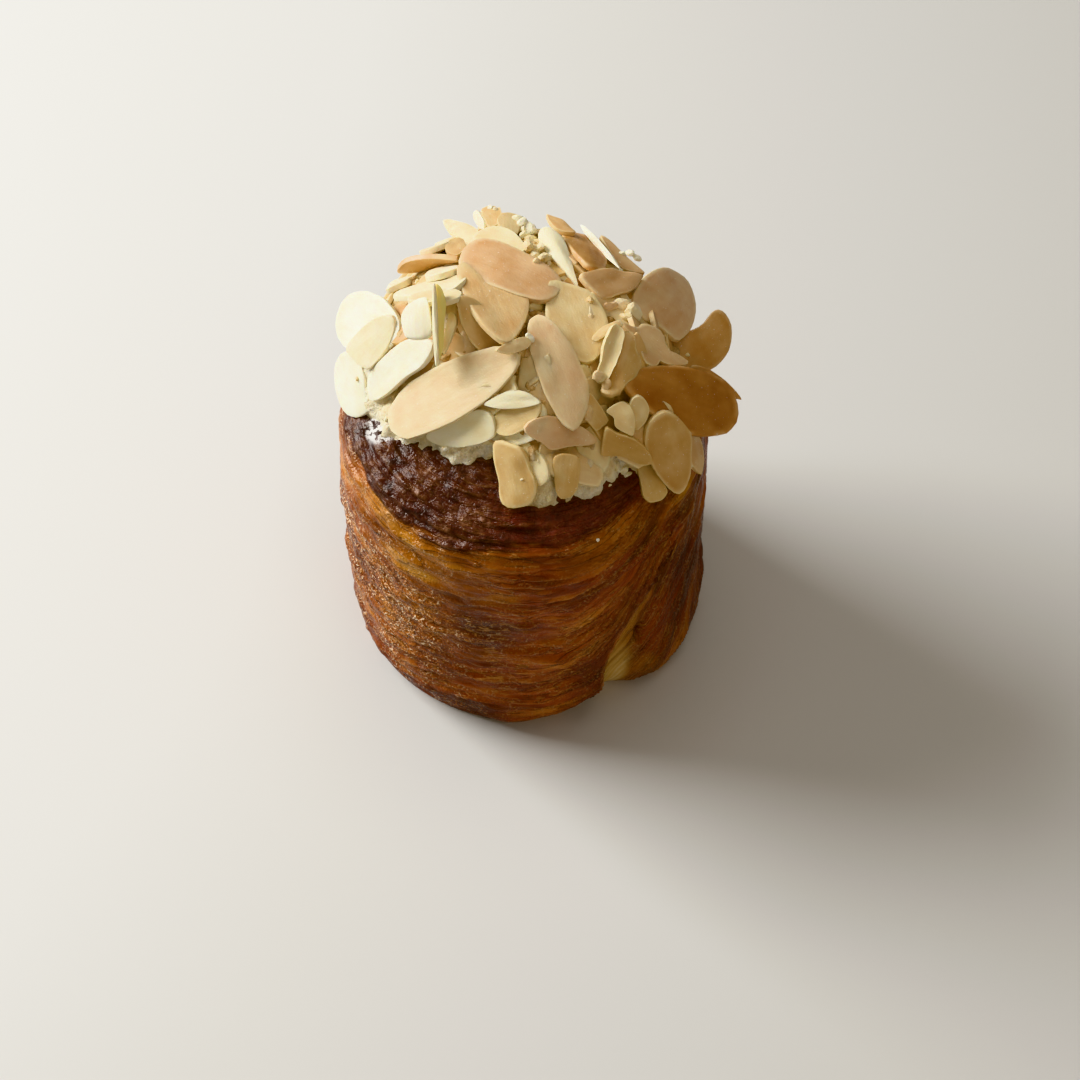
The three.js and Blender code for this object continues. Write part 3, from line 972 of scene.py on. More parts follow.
# slices that only fill the heap: laid by a golden-angle spread over the dome
def fillSlice(turn, share, longest, sunk=0.0):
    spot = moundSpot(turn, share)
    face = unit(heapNormal(spot) + 0.12 * draw.normal(size=3))
    long = unit(np.cross(face, draw.normal(size=3)))
    length = draw.uniform(0.6, 1.0) * longest
    look = {
        "outline": draw.choice(["whole", "whole", "leaf", "snapped", "stub", "shard", "round"]),
        "length": length,
        "width": length * draw.uniform(0.45, 0.66),
        "thickness": sliceOf["thickness"] * draw.uniform(0.85, 1.1),
        "bow": draw.uniform(0.0, 0.07),
        "cup": draw.uniform(-0.02, 0.05),
        "twist": draw.uniform(-0.18, 0.18),
        "toast": float(np.clip(draw.normal(0.40, 0.17), 0.08, 0.80)) + 0.10 * sunk,
        "amber": draw.uniform(0.4, 1.0),
        "chips": [(draw.uniform(0, 2 * math.pi), draw.uniform(0.7, 1.0)) for chip in range(3)],
        "seed": len(sliceParts["points"]) + 1,
    }
    poses = []
    for tip, roll in leans(12):
        leaned = turnAbout(face, long, math.radians(roll))
        leaned = turnAbout(leaned, np.cross(face, long), math.radians(tip))
        axis = unit(long - leaned * np.dot(long, leaned))
        poses.append({"middle": spot + face * 4, "long": axis, "wide": np.cross(leaned, axis),
                      "face": leaned, "cost": 0.0})
    pose = settle(look, poses, -face)
    pose["middle"] = pose["middle"] - face * sunk
    spread = placeSlice(shapeSlice(feelers, look), pose)
    away = np.linalg.norm(pixelsOf(spread).mean(axis=0) - keptClear["middle"])
    if insideOutline(spread) and away > keptClear["radius"]:
        addSlice(look, pose)


def seenFromFront(spot):
    return np.dot(heapNormal(spot), -viewDirection) > 0.35 or spot[1] < 2


# spots spread evenly over the mound, as the turn from the front and the share of the way to the edge
def evenSpread(layer):
    goldenTurn = math.pi * (3 - math.sqrt(5))
    for number in range(layer["count"]):
        turn = (number * goldenTurn + layer["start"]) % (2 * math.pi) - math.pi
        yield turn, layer["reach"] * math.sqrt((number + 0.5) / layer["count"])


# those that show only between the picked slices are short and lie half sunk in the cream
firstLayer = {"count": 170, "start": math.pi, "reach": 0.96, "longest": 21, "shortened": 15, "sunk": 1.0}
for turn, share in evenSpread(firstLayer):
    if seenFromFront(moundSpot(turn, share)):
        fillSlice(turn, share, firstLayer["shortened"], firstLayer["sunk"])
    else:
        fillSlice(turn, share, firstLayer["longest"])
print("first layer of slices", len(sliceParts["points"]))

# slices picked out of the photograph, from the lowest to the topmost. Those seen on edge have their two ends
# and their width in pixels, an outline and a roll about their length. The others have the corners of their
# rim in pixels. "face" is how far a slice turns from the heap towards the eye.
seenSlices = [
    {"ends": ((476, 212), (486, 229)), "width": 8,
     "toast": 0.15, "outline": "stick", "face": 0.3, "roll": 50},
    {"rim": [(482, 211), (488, 207), (497, 208), (502, 213), (498, 226), (490, 229), (484, 220)],
     "toast": 0.55, "amber": 0.8, "face": 0.2, "ragged": 0.3},
    {"rim": [(497, 219), (501, 214), (510, 214), (518, 217), (520, 226), (516, 236), (505, 233),
             (499, 228)], "toast": 0.5, "amber": 0.8, "face": 0.2, "ragged": 0.2},
    {"rim": [(546, 215), (551, 217), (562, 221), (570, 228), (576, 234), (566, 234), (556, 231),
             (549, 223)], "toast": 0.6, "amber": 0.6, "face": 0.2},
    {"rim": [(443, 221), (450, 220), (462, 226), (475, 230), (480, 235), (470, 246), (460, 242),
             (449, 232)], "toast": 0.34, "amber": 0.7, "face": 0.3},
    {"ends": ((420, 254), (461, 241)), "width": 10,
     "toast": 0.4, "outline": "stick", "face": 0.2, "roll": -58},
    {"ends": ((389, 288), (412, 279)), "width": 12,
     "toast": 0.2, "outline": "shard", "face": 0.2, "roll": -48},
    {"ends": ((400, 293), (462, 284)), "width": 14,
     "toast": 0.25, "outline": "stick", "face": 0.2, "roll": -56},
    {"ends": ((409, 299), (462, 296)), "width": 13,
     "toast": 0.35, "outline": "stick", "face": 0.2, "roll": -54},
    {"ends": ((398, 268), (459, 257)), "width": 12,
     "toast": 0.66, "outline": "leaf", "face": 0.2, "roll": -58},
    {"ends": ((426, 277), (462, 269)), "width": 9,
     "toast": 0.2, "outline": "leaf", "face": 0.2, "roll": -60},
    {"rim": [(561, 238), (567, 234), (577, 233), (586, 235), (594, 242), (601, 252), (607, 264),
             (603, 270), (594, 269), (586, 266), (578, 259), (570, 252)],
     "toast": 0.8, "amber": 0.6, "face": 0.25},
    {"rim": [(599, 236), (610, 242), (623, 255), (636, 267), (645, 275), (630, 273), (620, 269),
             (612, 258)], "toast": 0.58, "amber": 0.3, "face": 0.3},
    {"ends": ((583, 227), (621, 270)), "width": 7,
     "toast": 0.06, "outline": "leaf", "face": 0.2, "roll": 60},
    {"rim": [(579, 275), (594, 271), (609, 269), (620, 272), (633, 273), (643, 276), (637, 285),
             (632, 292), (622, 295), (612, 298), (601, 300), (594, 294), (586, 286)],
     "toast": 0.62, "amber": 0.3, "face": 0.3, "ragged": 0.1},
    {"rim": [(538, 236), (541, 230), (549, 228), (558, 233), (565, 241), (570, 256), (574, 272),
             (579, 289), (571, 280), (561, 269), (550, 258), (542, 248)],
     "toast": 0.22, "amber": 0.8, "face": 0.3, "cup": 0.14},
    {"rim": [(473, 239), (479, 232), (487, 229), (497, 228), (507, 230), (517, 236), (526, 248),
             (515, 257), (495, 252), (478, 246)], "toast": 0.34, "amber": 0.8, "face": 0.15},
    {"rim": [(458, 296), (476, 300), (494, 318), (503, 345), (494, 356), (476, 348), (462, 325)],
     "toast": 0.58, "amber": 0.9, "face": 0.4},
    {"rim": [(458, 262), (459, 281), (463, 296), (471, 312), (483, 329), (497, 340), (509, 343),
             (519, 332), (527, 318), (529, 300), (510, 280), (480, 262)],
     "toast": 0.58, "amber": 0.6, "face": 0.3},
    {"rim": [(459, 263), (465, 247), (479, 239), (496, 242), (521, 253), (544, 265), (562, 279),
             (559, 291), (545, 301), (516, 297), (490, 288), (468, 276)],
     "toast": 0.62, "amber": 0.1, "face": 0.3},
    {"rim": [(716, 309), (724, 312), (730, 322), (731, 338), (727, 355), (714, 369), (698, 373),
             (680, 368), (668, 355), (666, 338), (689, 331), (702, 325), (710, 314)],
     "toast": 0.72, "amber": 0.6, "face": 0.6},
    {"ends": ((690, 366), (742, 400)), "width": 16, "toast": 0.76, "outline": "leaf", "face": 0.6},
    {"rim": [(545, 318), (547, 284), (553, 280), (573, 285), (591, 293), (601, 307), (608, 321),
             (606, 342), (597, 359), (583, 363), (566, 352), (552, 336)],
     "toast": 0.5, "amber": 0.9, "face": 0.4},
    {"rim": [(620, 321), (636, 329), (643, 324), (662, 333), (666, 350), (679, 356), (689, 364),
             (678, 367), (664, 365), (658, 361), (655, 369), (647, 366), (640, 356), (637, 338),
             (628, 331)], "toast": 0.52, "amber": 0.2, "face": 0.5, "ragged": 0.12},
    {"rim": [(633, 296), (642, 279), (652, 271), (664, 268), (676, 271), (687, 279), (694, 292),
             (697, 308), (692, 325), (686, 336), (677, 341), (667, 333), (654, 325), (642, 318),
             (635, 306)], "toast": 0.54, "amber": 0.0, "face": 0.5},
    {"rim": [(592, 338), (603, 327), (620, 320), (623, 325), (610, 334), (596, 342)],
     "toast": 0.5, "amber": 0.7, "face": 0.3},
    {"ends": ((690, 434), (700, 474)), "width": 15, "toast": 0.55, "outline": "leaf", "face": 0.4},
    {"rim": [(625, 381), (636, 371), (651, 366), (668, 366), (686, 369), (704, 373), (717, 377),
             (729, 387), (736, 400), (737, 418), (730, 431), (717, 435), (696, 435), (675, 430),
             (652, 414), (632, 396)], "toast": 0.9, "amber": 0.4, "face": 0.75},
    {"rim": [(622, 330), (634, 335), (636, 350), (643, 366), (640, 374), (626, 385), (622, 393),
             (610, 397), (600, 392), (606, 378), (613, 358), (617, 340)],
     "toast": 0.6, "amber": 0.9, "face": 0.4, "ragged": 0.14, "cup": 0.2, "thickness": 1.8},
    {"rim": [(612, 325), (620, 327), (623, 335), (619, 352), (613, 368), (607, 381), (598, 384),
             (596, 374), (601, 360), (601, 350), (605, 338)],
     "toast": 0.42, "amber": 1.0, "face": 0.4, "ragged": 0.18, "cup": -0.2, "thickness": 2.2},
    {"rim": [(336, 366), (341, 355), (349, 351), (362, 363), (367, 378), (367, 394), (370, 409),
             (359, 418), (348, 414), (341, 400), (337, 384)], "toast": 0.05, "amber": 0.9, "face": 0.5},
    {"rim": [(336, 321), (340, 304), (351, 294), (367, 291), (384, 298), (396, 311), (401, 325),
             (397, 340), (385, 350), (365, 355), (347, 348), (338, 336)],
     "toast": 0.06, "amber": 0.9, "face": 0.6},
    {"rim": [(402, 317), (408, 306), (418, 300), (427, 298), (430, 310), (431, 334), (420, 339),
             (406, 337)], "toast": 0.1, "amber": 0.9, "face": 0.5},
    {"rim": [(368, 381), (378, 366), (392, 352), (406, 341), (421, 338), (433, 341), (432, 353),
             (425, 366), (408, 378), (392, 392), (378, 400), (370, 402)],
     "toast": 0.06, "amber": 1.0, "face": 0.5, "thickness": 1.6},
    {"rim": [(346, 350), (354, 338), (368, 324), (380, 317), (392, 314), (396, 320), (395, 332),
             (390, 345), (380, 360), (371, 370), (360, 365)],
     "toast": 0.24, "amber": 0.5, "face": 0.6, "thickness": 1.6},
    {"rim": [(450, 313), (456, 315), (457, 325), (451, 341), (444, 354), (441, 350), (446, 333)],
     "toast": 0.34, "amber": 1.0, "face": 0.4},
    # an upright sliver with light glowing through it, painted lemon yellow
    {"rim": [(436, 283), (442, 289), (446, 303), (444, 322), (443, 346), (438, 363), (436, 340),
             (435, 310)], "toast": 0.3, "amber": 1.0, "glowThrough": 0.8, "face": 0.45},
    {"ends": ((437, 366), (434, 284)), "width": 5,
     "toast": 0.16, "outline": "stick", "face": 0.5, "amber": 1.0},
    {"rim": [(426, 436), (436, 426), (460, 415), (480, 409), (492, 414), (496, 427), (495, 437),
             (480, 443), (456, 447), (436, 444)], "toast": 0.24, "amber": 1.0, "face": 0.1},
    {"rim": [(497, 412), (515, 402), (539, 400), (541, 412), (532, 425), (520, 432), (510, 436),
             (498, 434), (494, 424)], "toast": 0.46, "amber": 1.0, "face": 0.5},
    {"rim": [(484, 405), (497, 396), (512, 390), (527, 392), (541, 402), (536, 405), (522, 408),
             (503, 409)], "toast": 0.2, "amber": 0.8, "face": 0.3},
    {"rim": [(496, 350), (508, 342), (524, 337), (531, 343), (526, 349), (510, 354)],
     "toast": 0.5, "amber": 0.6, "face": 0.4, "ragged": 0.12},
    {"rim": [(385, 416), (392, 401), (405, 386), (428, 373), (452, 361), (477, 351), (500, 346),
             (515, 349), (518, 360), (509, 377), (494, 394), (479, 407), (460, 420), (444, 428),
             (421, 436), (405, 440), (392, 435)], "toast": 0.42, "amber": 0.1, "face": 0.45},
    {"rim": [(631, 399), (638, 395), (645, 399), (649, 409), (646, 420), (637, 430), (630, 426),
             (628, 412)], "toast": 0.48, "amber": 0.9, "face": 0.4},
    {"rim": [(606, 411), (613, 405), (622, 401), (630, 405), (635, 415), (635, 427), (633, 436),
             (624, 432), (615, 426), (614, 417)], "toast": 0.48, "amber": 0.9, "face": 0.4},
    {"ends": ((582, 396), (602, 426)), "width": 20,
     "toast": 0.55, "outline": "stub", "face": 0.4, "amber": 0.9},
    {"rim": [(524, 431), (530, 420), (548, 415), (566, 420), (585, 428), (597, 440), (590, 445),
             (572, 446), (551, 450), (542, 443), (532, 438)],
     "toast": 0.56, "amber": 0.0, "face": 0.25, "ragged": 0.08},
    {"rim": [(527, 323), (532, 317), (541, 314), (555, 324), (572, 346), (584, 372), (590, 392),
             (586, 414), (576, 431), (560, 421), (546, 397), (536, 371), (529, 347)],
     "toast": 0.48, "amber": 0.1, "face": 0.5},
    {"rim": [(637, 465), (650, 465), (659, 478), (667, 491), (662, 500), (649, 503), (642, 497),
             (640, 483)], "toast": 0.56, "amber": 1.0, "face": 0.5},
    {"rim": [(606, 427), (617, 433), (630, 436), (642, 443), (651, 455), (652, 463), (643, 465),
             (634, 461), (625, 456), (612, 454), (601, 455), (602, 443)],
     "toast": 0.66, "amber": 1.0, "face": 0.4},
    {"rim": [(666, 410), (656, 414), (648, 424), (644, 440), (647, 455), (655, 472), (665, 485),
             (676, 494), (685, 488), (690, 470), (690, 450), (691, 434), (684, 423), (676, 415)],
     "toast": 0.64, "amber": 0.8, "face": 0.5},
    {"rim": [(494, 442), (505, 441), (517, 445), (526, 453), (529, 466), (535, 479), (537, 491),
             (531, 504), (512, 508), (501, 501), (499, 480), (495, 462)],
     "toast": 0.56, "amber": 1.0, "face": 0.5, "ragged": 0.08},
    {"rim": [(553, 458), (561, 453), (570, 454), (578, 456), (581, 464), (579, 475), (578, 487),
             (572, 496), (562, 499), (556, 493), (554, 478)],
     "toast": 0.62, "amber": 1.0, "face": 0.5, "ragged": 0.08},
]


def onPlane(pixel, middle, normal):
    ray = rayThrough(pixel)
    return eye + ray * (np.dot(middle - eye, normal) / np.dot(ray, normal))


def endsPose(entry, middle, leaned):
    tail, tip = np.array(entry["ends"], float)
    ends = onPlane(tail, middle, leaned), onPlane(tip, middle, leaned)
    length = np.linalg.norm(ends[1] - ends[0])
    long = (ends[1] - ends[0]) / length
    leaned = turnAbout(leaned, long, math.radians(entry.get("roll", 0)))
    wide = np.cross(leaned, long)
    run, step = unit(tip - tail), pixelsOf(middle + wide) - pixelsOf(middle)
    perMm = abs(run[0] * step[1] - run[1] * step[0])
    own = {"length": length, "width": min(entry["width"] / max(perMm, 1.0), 0.95 * length + 1)}
    return {"middle": (ends[0] + ends[1]) / 2, "long": long, "wide": wide, "face": leaned, "own": own}


def rimPose(entry, middle, leaned):
    corners = np.array([onPlane(corner, middle, leaned) for corner in entry["rim"]])
    centre = corners.mean(axis=0)
    long = unit(np.linalg.svd(corners - centre)[2][0])
    wide = np.cross(leaned, long)
    flat = np.stack([(corners - centre) @ long, (corners - centre) @ wide], 1)
    size = np.ptp(flat, axis=0)
    own = {"length": size[0], "width": size[1], "rim": drawRim(flat) * 2 / size}
    return {"middle": centre, "long": long, "wide": wide, "face": leaned, "own": own}


def seenSlice(entry):
    line = rayThrough(np.mean(entry.get("rim", entry.get("ends")), axis=0))
    middle = meetHeap(eye, line)
    normal = unit(blend(heapNormal(middle), -viewDirection, entry["face"]))
    poses = []
    for tip, roll in leans(10):
        leaned = turnAbout(normal, viewRight, math.radians(tip))
        leaned = turnAbout(leaned, viewUp, math.radians(roll))
        pose = rimPose(entry, middle, leaned) if "rim" in entry else endsPose(entry, middle, leaned)
        poses.append(dict(pose, cost=(abs(tip) + abs(roll)) / 110))
    look = {
        "outline": entry.get("outline"),
        "thickness": entry.get("thickness", sliceOf["thickness"] * draw.uniform(0.9, 1.1)),
        "bow": draw.uniform(0.0, 0.05),
        "cup": entry.get("cup", draw.uniform(-0.02, 0.04)),
        "twist": draw.uniform(-0.12, 0.12),
        "ragged": entry.get("ragged", 0.04),
        "toast": entry["toast"],
        "amber": entry.get("amber", 0.5),
        "glowThrough": entry.get("glowThrough", 0),
        "seed": len(sliceParts["points"]) + 1,
    }
    pose = settle(look, poses, line)
    addSlice(dict(look, **pose["own"]), pose)


for entry in seenSlices:
    seenSlice(entry)
print("slices with those picked from the photograph", len(sliceParts["points"]))

# a looser second layer over the side that faces away
backLayer = {"count": 150, "start": 1.0, "reach": 0.97, "longest": 23}
for turn, share in evenSpread(backLayer):
    if not seenFromFront(moundSpot(turn, share)):
        fillSlice(turn, share, backLayer["longest"])

# a chip wedged in at the upper left, where the slices would leave a gap
seenSlice({"rim": [(445, 249), (449, 242), (456, 239), (463, 240), (466, 246), (463, 253), (457, 257),
                   (449, 255)],
           "toast": 0.60, "amber": 0.7, "face": 0.3, "ragged": 0.1})
print("slices in all", len(sliceParts["points"]))

slices = joinParts("sliced_almonds", sliceParts)
selectOnly(slices)
bpy.ops.object.shade_smooth_by_angle(angle=math.radians(sliceOf["sharpFrom"]))
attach(slices, "root")
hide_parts("almond_topping")
print("sliced almonds", len(slices.data.polygons), "faces")


# crumbs: broken bits of almond between the slices and along the cream's edge

crumbOf = {
    "seed": 83,
    "spread": 260,                           # tried over the heap; those on top of a slice are left out
    "edge": 70,                              # along the cream's front edge
    "spreadSizes": (0.6, 1.7),
    "edgeSizes": (0.5, 1.3),
    "edgeTurns": (-75, 60),                  # degrees from the front
    "edgeShares": (0.93, 0.985),
    "spreadCover": 0.6,                      # slices may lie this thick under a crumb
    "edgeCover": 0.3,
    "jitter": 0.12,
    "stretch": (1.25, 0.9, 0.7),
}
# nuggets that show in the photograph: pixel, size in millimetres, toasting
seenCrumbs = [((620, 306), 3.2, 0.34), ((633, 312), 3.8, 0.32), ((625, 318), 2.6, 0.4),
              ((610, 308), 2.6, 0.55), ((587, 412), 2.6, 0.5), ((623, 254), 1.6, 0.1),
              ((630, 253), 1.8, 0.08), ((637, 258), 1.4, 0.12), ((535, 308), 3.0, 0.35),
              ((530, 338), 1.6, 0.1), ((527, 247), 2.6, 0.35), ((535, 254), 2.2, 0.3),
              ((522, 222), 2.4, 0.15), ((528, 228), 2.8, 0.1), ((533, 233), 2.0, 0.2),
              ((525, 235), 2.2, 0.25), ((531, 241), 2.6, 0.3), ((540, 247), 2.0, 0.25),
              ((543, 258), 2.4, 0.35), ((549, 265), 1.8, 0.4), ((537, 262), 1.6, 0.4),
              ((518, 219), 1.8, 0.2), ((598, 376), 2.4, 0.45), ((607, 384), 2.0, 0.5),
              ((590, 300), 1.8, 0.5), ((623, 470), 2.4, 0.1), ((628, 475), 1.6, 0.15),
              ((618, 467), 1.8, 0.1), ((490, 208), 1.4, 0.1), ((496, 210), 1.2, 0.2),
              ((598, 540), 0.9, 0.1)]


def cutCrumb():
    letGo()
    bpy.ops.mesh.primitive_ico_sphere_add(subdivisions=2, radius=mm)
    blank = bpy.context.object
    bpy.ops.object.mode_set(mode="EDIT")
    bpy.ops.mesh.select_all(action="SELECT")
    bpy.ops.transform.vertex_random(offset=crumbOf["jitter"] * mm, seed=3)
    bpy.ops.transform.resize(value=crumbOf["stretch"])
    bpy.ops.object.mode_set(mode="OBJECT")
    shape, faces = readPoints(blank), readFaces(blank)
    bpy.data.objects.remove(blank)
    return shape, faces


crumbShape, crumbFaces = cutCrumb()
crumbParts = newParts()
draw = np.random.default_rng(crumbOf["seed"])


def addCrumb(spot, size, toast):
    number = len(crumbParts["points"])
    lumpy = 0.62 + 0.76 * roughGrain(crumbShape * 1.3 + number * 7.3, 91, 2)
    first = unit(draw.normal(size=3))
    second = unit(np.cross(first, draw.normal(size=3)))
    turned = (crumbShape * lumpy[:, None]) @ np.stack([first, second, np.cross(first, second)]) * size / 2
    addPart(crumbParts, spot + turned, crumbFaces, (toast, 0.5, number * 0.37 % 1, 0), turned + number * 5.0)


for pixel, size, toast in seenCrumbs:
    line = rayThrough(pixel)
    addCrumb(meetHeap(eye, line) + line * size * 0.1, size, toast)
for number in range(crumbOf["spread"]):
    turn = draw.uniform(-math.pi, math.pi)
    spot = moundSpot(turn, 0.98 * math.sqrt(draw.uniform(0.02, 1)))
    face = heapNormal(spot)
    size = draw.uniform(*crumbOf["spreadSizes"])
    spot = meetHeap(spot + face * 25, -face)
    if sliceCover(spot) < crumbOf["spreadCover"]:
        addCrumb(spot - face * size * 0.15, size, draw.uniform(0.1, 0.6))
for number in range(crumbOf["edge"]):
    turn = math.radians(draw.uniform(*crumbOf["edgeTurns"]))
    spot = moundSpot(turn, draw.uniform(*crumbOf["edgeShares"]))
    size = draw.uniform(*crumbOf["edgeSizes"])
    spot = meetHeap(spot + [0, 0, 12], np.array([0, 0, -1.0]))
    if sliceCover(spot) < crumbOf["edgeCover"]:
        addCrumb(spot - [0, 0, 0.2 * size], size, draw.uniform(0.1, 0.3))

crumbs = joinParts("almond_crumbs", crumbParts)
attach(crumbs, "root")
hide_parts("almond_topping")
print("crumbs", len(crumbParts["points"]))


# finishes

# noises that follow the winding: scale along a layer, scale across the layers, detail
crustGrain = {
    "bands": (0.03, 0.14, 2),
    "hue": (0.045, 0.22, 2),
    "strands": (0.10, 0.45, 3),
    "fine": (0.45, 1.2, 2),
    "lines": (0.12, 0.9, 2),
    "slits": (0.07, 0.5, 2),
}
crustTones = {
    "plain": [(0.28, "#45110a"), (0.42, "#64200c"), (0.52, "#7c2e10"), (0.62, "#94441a"), (0.76, "#b4703a")],
    "golden": [(0.28, "#62300a"), (0.44, "#884c0e"), (0.58, "#a6661b"), (0.74, "#cc9442")],
    # the dark top: near-black for painted shade in its pits, palest for painted soft highlights on its bumps
    "burntAndSheen": [(0.40, "#1e0906"), (0.49, "#3a140d"), (0.57, "#502a1c"), (0.67, "#8a6450")],
    "redder": [(0.32, "#330b07"), (0.42, "#481108"), (0.52, "#5a1c10"), (0.62, "#6e3426")],
    # painted glints
    "sparkle": [(0.38, "#a8642f"), (0.49, "#d89c64"), (0.59, "#fbe2c0")],
    "dough": [(0.34, "#9c6c36"), (0.52, "#c8a46a"), (0.70, "#e6d0a0")],
    # darker tone, also painted shade on the flap
    "deep": "#44110a",
    "torn": "#dca66c",                       # edges of layers, painted as highlights
    # painted shade in the grooves under the layer lips
    "grooveShade": "#330d06",
    # painted shade in slits
    "slitShade": "#430f05",
    "streak": "#b07a38",
    # painted shade in the pits between glints
    "pitShade": "#42140a",
    # painted highlight along the flap edge
    "flapEdgeHighlight": "#b87c48",
    # painted shadow in the fold's crease
    "foldCreaseShade": "#220903",
    "sugar": "#e9e6e2",
}
crustShine = {
    "plain": (1.0, 0.68, 0.42, 1.0),
    "glintArea": (1.0, 0.82, 0.66, 1.0),
    "dark": (1.0, 0.82, 0.72, 1.0),
}


# one tone of the crust laid over the colour so far
def lay(colour, share, name):
    return paint(share, colour, tint(crustTones[name]))


def crustFinish():
    finish, tree, shader = newFinish("egg washed crust")
    winding = storedVector(tree, "windingPlace")
    dark, gold, dough, glintArea = storedColour(tree, "bakeAndGlintZone")
    bubbly, flapEdgeHighlight, foldCreaseShade, deepToneAndShade = storedColour(tree, "bakeDetailLightAndShade")
    lip, grooveShade, sugared, streaked = storedColour(tree, "layerEdge")
    place = objectPlace(tree)
    bands, hue, strands, fine, lines, slits = (
        noise(stretched(winding, (level, level, across)), 1.0, detail)
        for level, across, detail in crustGrain.values())
    clouds = noise(place, 70, 3)
    patches = noise(place, 190, 2)
    beads = noise(place, 2100, 1)
    bubbles = cells(place, 560)
    specks = noise(place, 900, 3, 0.6)
    # painted highlight lines, short and patchy
    highlightLine = times(lineOf(lines, 0.03), span(patches, 0.47, 0.57))
    # slits: thin gaps between layers, darkened as painted shade
    slitShade = times(lineOf(slits, 0.03), span(clouds, 0.44, 0.58))
    plainCrust = less(1.0, times(dark, 0.8))
    lighter = less(1.0, times(deepToneAndShade, 0.85))

    tone = plus(shift(bands, 1.05), shift(strands, 0.4), shift(fine, 0.12), shift(clouds, 0.65), 0.5)
    ambered = times(span(hue, 0.47, 0.62), lighter, span(bubbly, 0.25, 0.9, 0.16, 0.42))
    amber = most(gold, most(ambered, times(glintArea, 0.45)))
    colour = paint(amber, ramp(tone, crustTones["plain"]), ramp(tone, crustTones["golden"]))
    colour = lay(colour, times(deepToneAndShade, 0.6), "deep")
    # the dark top, its palest tones painted highlights that fall partly on the bubble tops
    grit = plus(times(specks, 0.4), times(bubbles, bubbly, 0.12), times(patches, 0.48))
    burntAndSheen = paint(span(bubbly, 0.3, 0.95), ramp(grit, crustTones["redder"]), ramp(grit, crustTones["burntAndSheen"]))
    colour = paint(times(dark, 0.95), colour, burntAndSheen)
    # painted highlights on the torn layer edges and along the highlight lines
    edgeHighlight = most(times(highlightLine, 0.55), times(lip, span(fine, 0.44, 0.58), 0.5))
    colour = lay(colour, times(edgeHighlight, plainCrust, lighter), "torn")
    # painted shade in the gaps under the layer lips and in the pocket
    colour = lay(colour, sums("MINIMUM", times(grooveShade, 0.8), 0.9), "grooveShade")
    colour = lay(colour, times(slitShade, 0.6), "slitShade")
    colour = lay(colour, times(streaked, span(strands, 0.36, 0.54, 0.3, 0.95)), "streak")
    stripes = span(plus(times(strands, 0.55), times(patches, 0.45)), 0.42, 0.54)
    # painted shade in the pits between the glints
    pitShading = times(span(beads, 0.38, 0.48, 1.0, 0.0), glintArea, span(strands, 0.40, 0.56, 0.25, 0.65))
    colour = lay(colour, pitShading, "pitShade")
    # painted glints: bright dots in stripes along the layers, strongest in the glint zone
    glint = times(span(beads, 0.52, 0.63), stripes, plus(times(glintArea, 0.8), 0.2), plainCrust)
    colour = paint(glint, colour, ramp(specks, crustTones["sparkle"]))
    # painted highlight along the flap edge
    colour = lay(colour, times(flapEdgeHighlight, span(fine, 0.36, 0.54, 0.2, 0.8)), "flapEdgeHighlight")
    # painted shadow in the fold's crease
    colour = lay(colour, times(foldCreaseShade, 0.85), "foldCreaseShade")
    colour = paint(dough, colour, ramp(strands, crustTones["dough"]))
    dusting = times(sugared, span(specks, 0.44, 0.60))
    colour = lay(colour, dusting, "sugar")
    gloss = plus(span(fine, 0.3, 0.7, 0.21, 0.35), times(dark, 0.12), times(dusting, 0.4), times(dough, 0.3))
    shine = paint(glintArea, crustShine["plain"], crustShine["glintArea"])
    dress(shader, {"Base Color": colour, "Roughness": gloss, "Specular IOR Level": 0.42,
                   "Specular Tint": paint(dark, shine, crustShine["dark"]),
                   "Coat Weight": 0.06, "Coat Roughness": 0.15})
    relief = plus(times(strands, 0.7), times(fine, 0.35), times(beads, plus(times(glintArea, 0.6), 0.12)))
    relief = plus(relief, times(glint, 0.2), times(highlightLine, 0.25), times(slitShade, -0.25))
    relief = plus(relief, times(lines, dark, 0.8), times(specks, plus(times(dark, 0.6), 0.15)))
    relief = plus(relief, times(bubbles, dark, bubbly, span(clouds, 0.4, 0.6, 0.3, 1.4)))
    emboss(shader, relief, 0.5)
    return finish


creamTones = {
    # inner tones are darker: toasted cream, with painted shade where it shows between the slices
    "inner": [(0.30, "#94703e"), (0.45, "#b48e58"), (0.62, "#d0b280"), (0.75, "#e8d6ae")],
    "outer": [(0.30, "#dcc498"), (0.42, "#e9d9b0"), (0.58, "#f2e8cc"), (0.72, "#f8f3e4")],
}


def creamFinish():
    finish, tree, shader = newFinish("baked almond cream")
    place = objectPlace(tree)
    lumps = noise(place, 260, 4, 0.6)
    fine = noise(place, 1300, 3, 0.6)
    atEdge = storedColour(tree, "creamTone")[0]
    colour = paint(atEdge, ramp(lumps, creamTones["inner"]), ramp(lumps, creamTones["outer"]))
    dress(shader, {"Base Color": colour, "Roughness": span(fine, 0.3, 0.7, 0.6, 0.85),
                   "Subsurface Weight": 0.2, "Subsurface Radius": (1.0, 0.7, 0.4),
                   "Subsurface Scale": 1.2 * mm})
    emboss(shader, plus(lumps, fine), 0.5)
    return finish


almondTones = {
    "plain": [(0.0, "#f7f1dc"), (0.25, "#f0e1bc"), (0.42, "#e7cea2"), (0.6, "#d9b186"), (0.78, "#c8925c"),
              (1.0, "#9e5e28")],
    "yellower": [(0.0, "#f7f3de"), (0.25, "#f0e4ba"), (0.42, "#e5ce9a"), (0.6, "#d2ae74"), (0.78, "#bc8d4c"),
                 (1.0, "#966226")],
    # painted light glowing through a thin sliver
    "glowThrough": "#f2de70",
    # painted glints
    "speckGlint": "#f8f2e4",
}


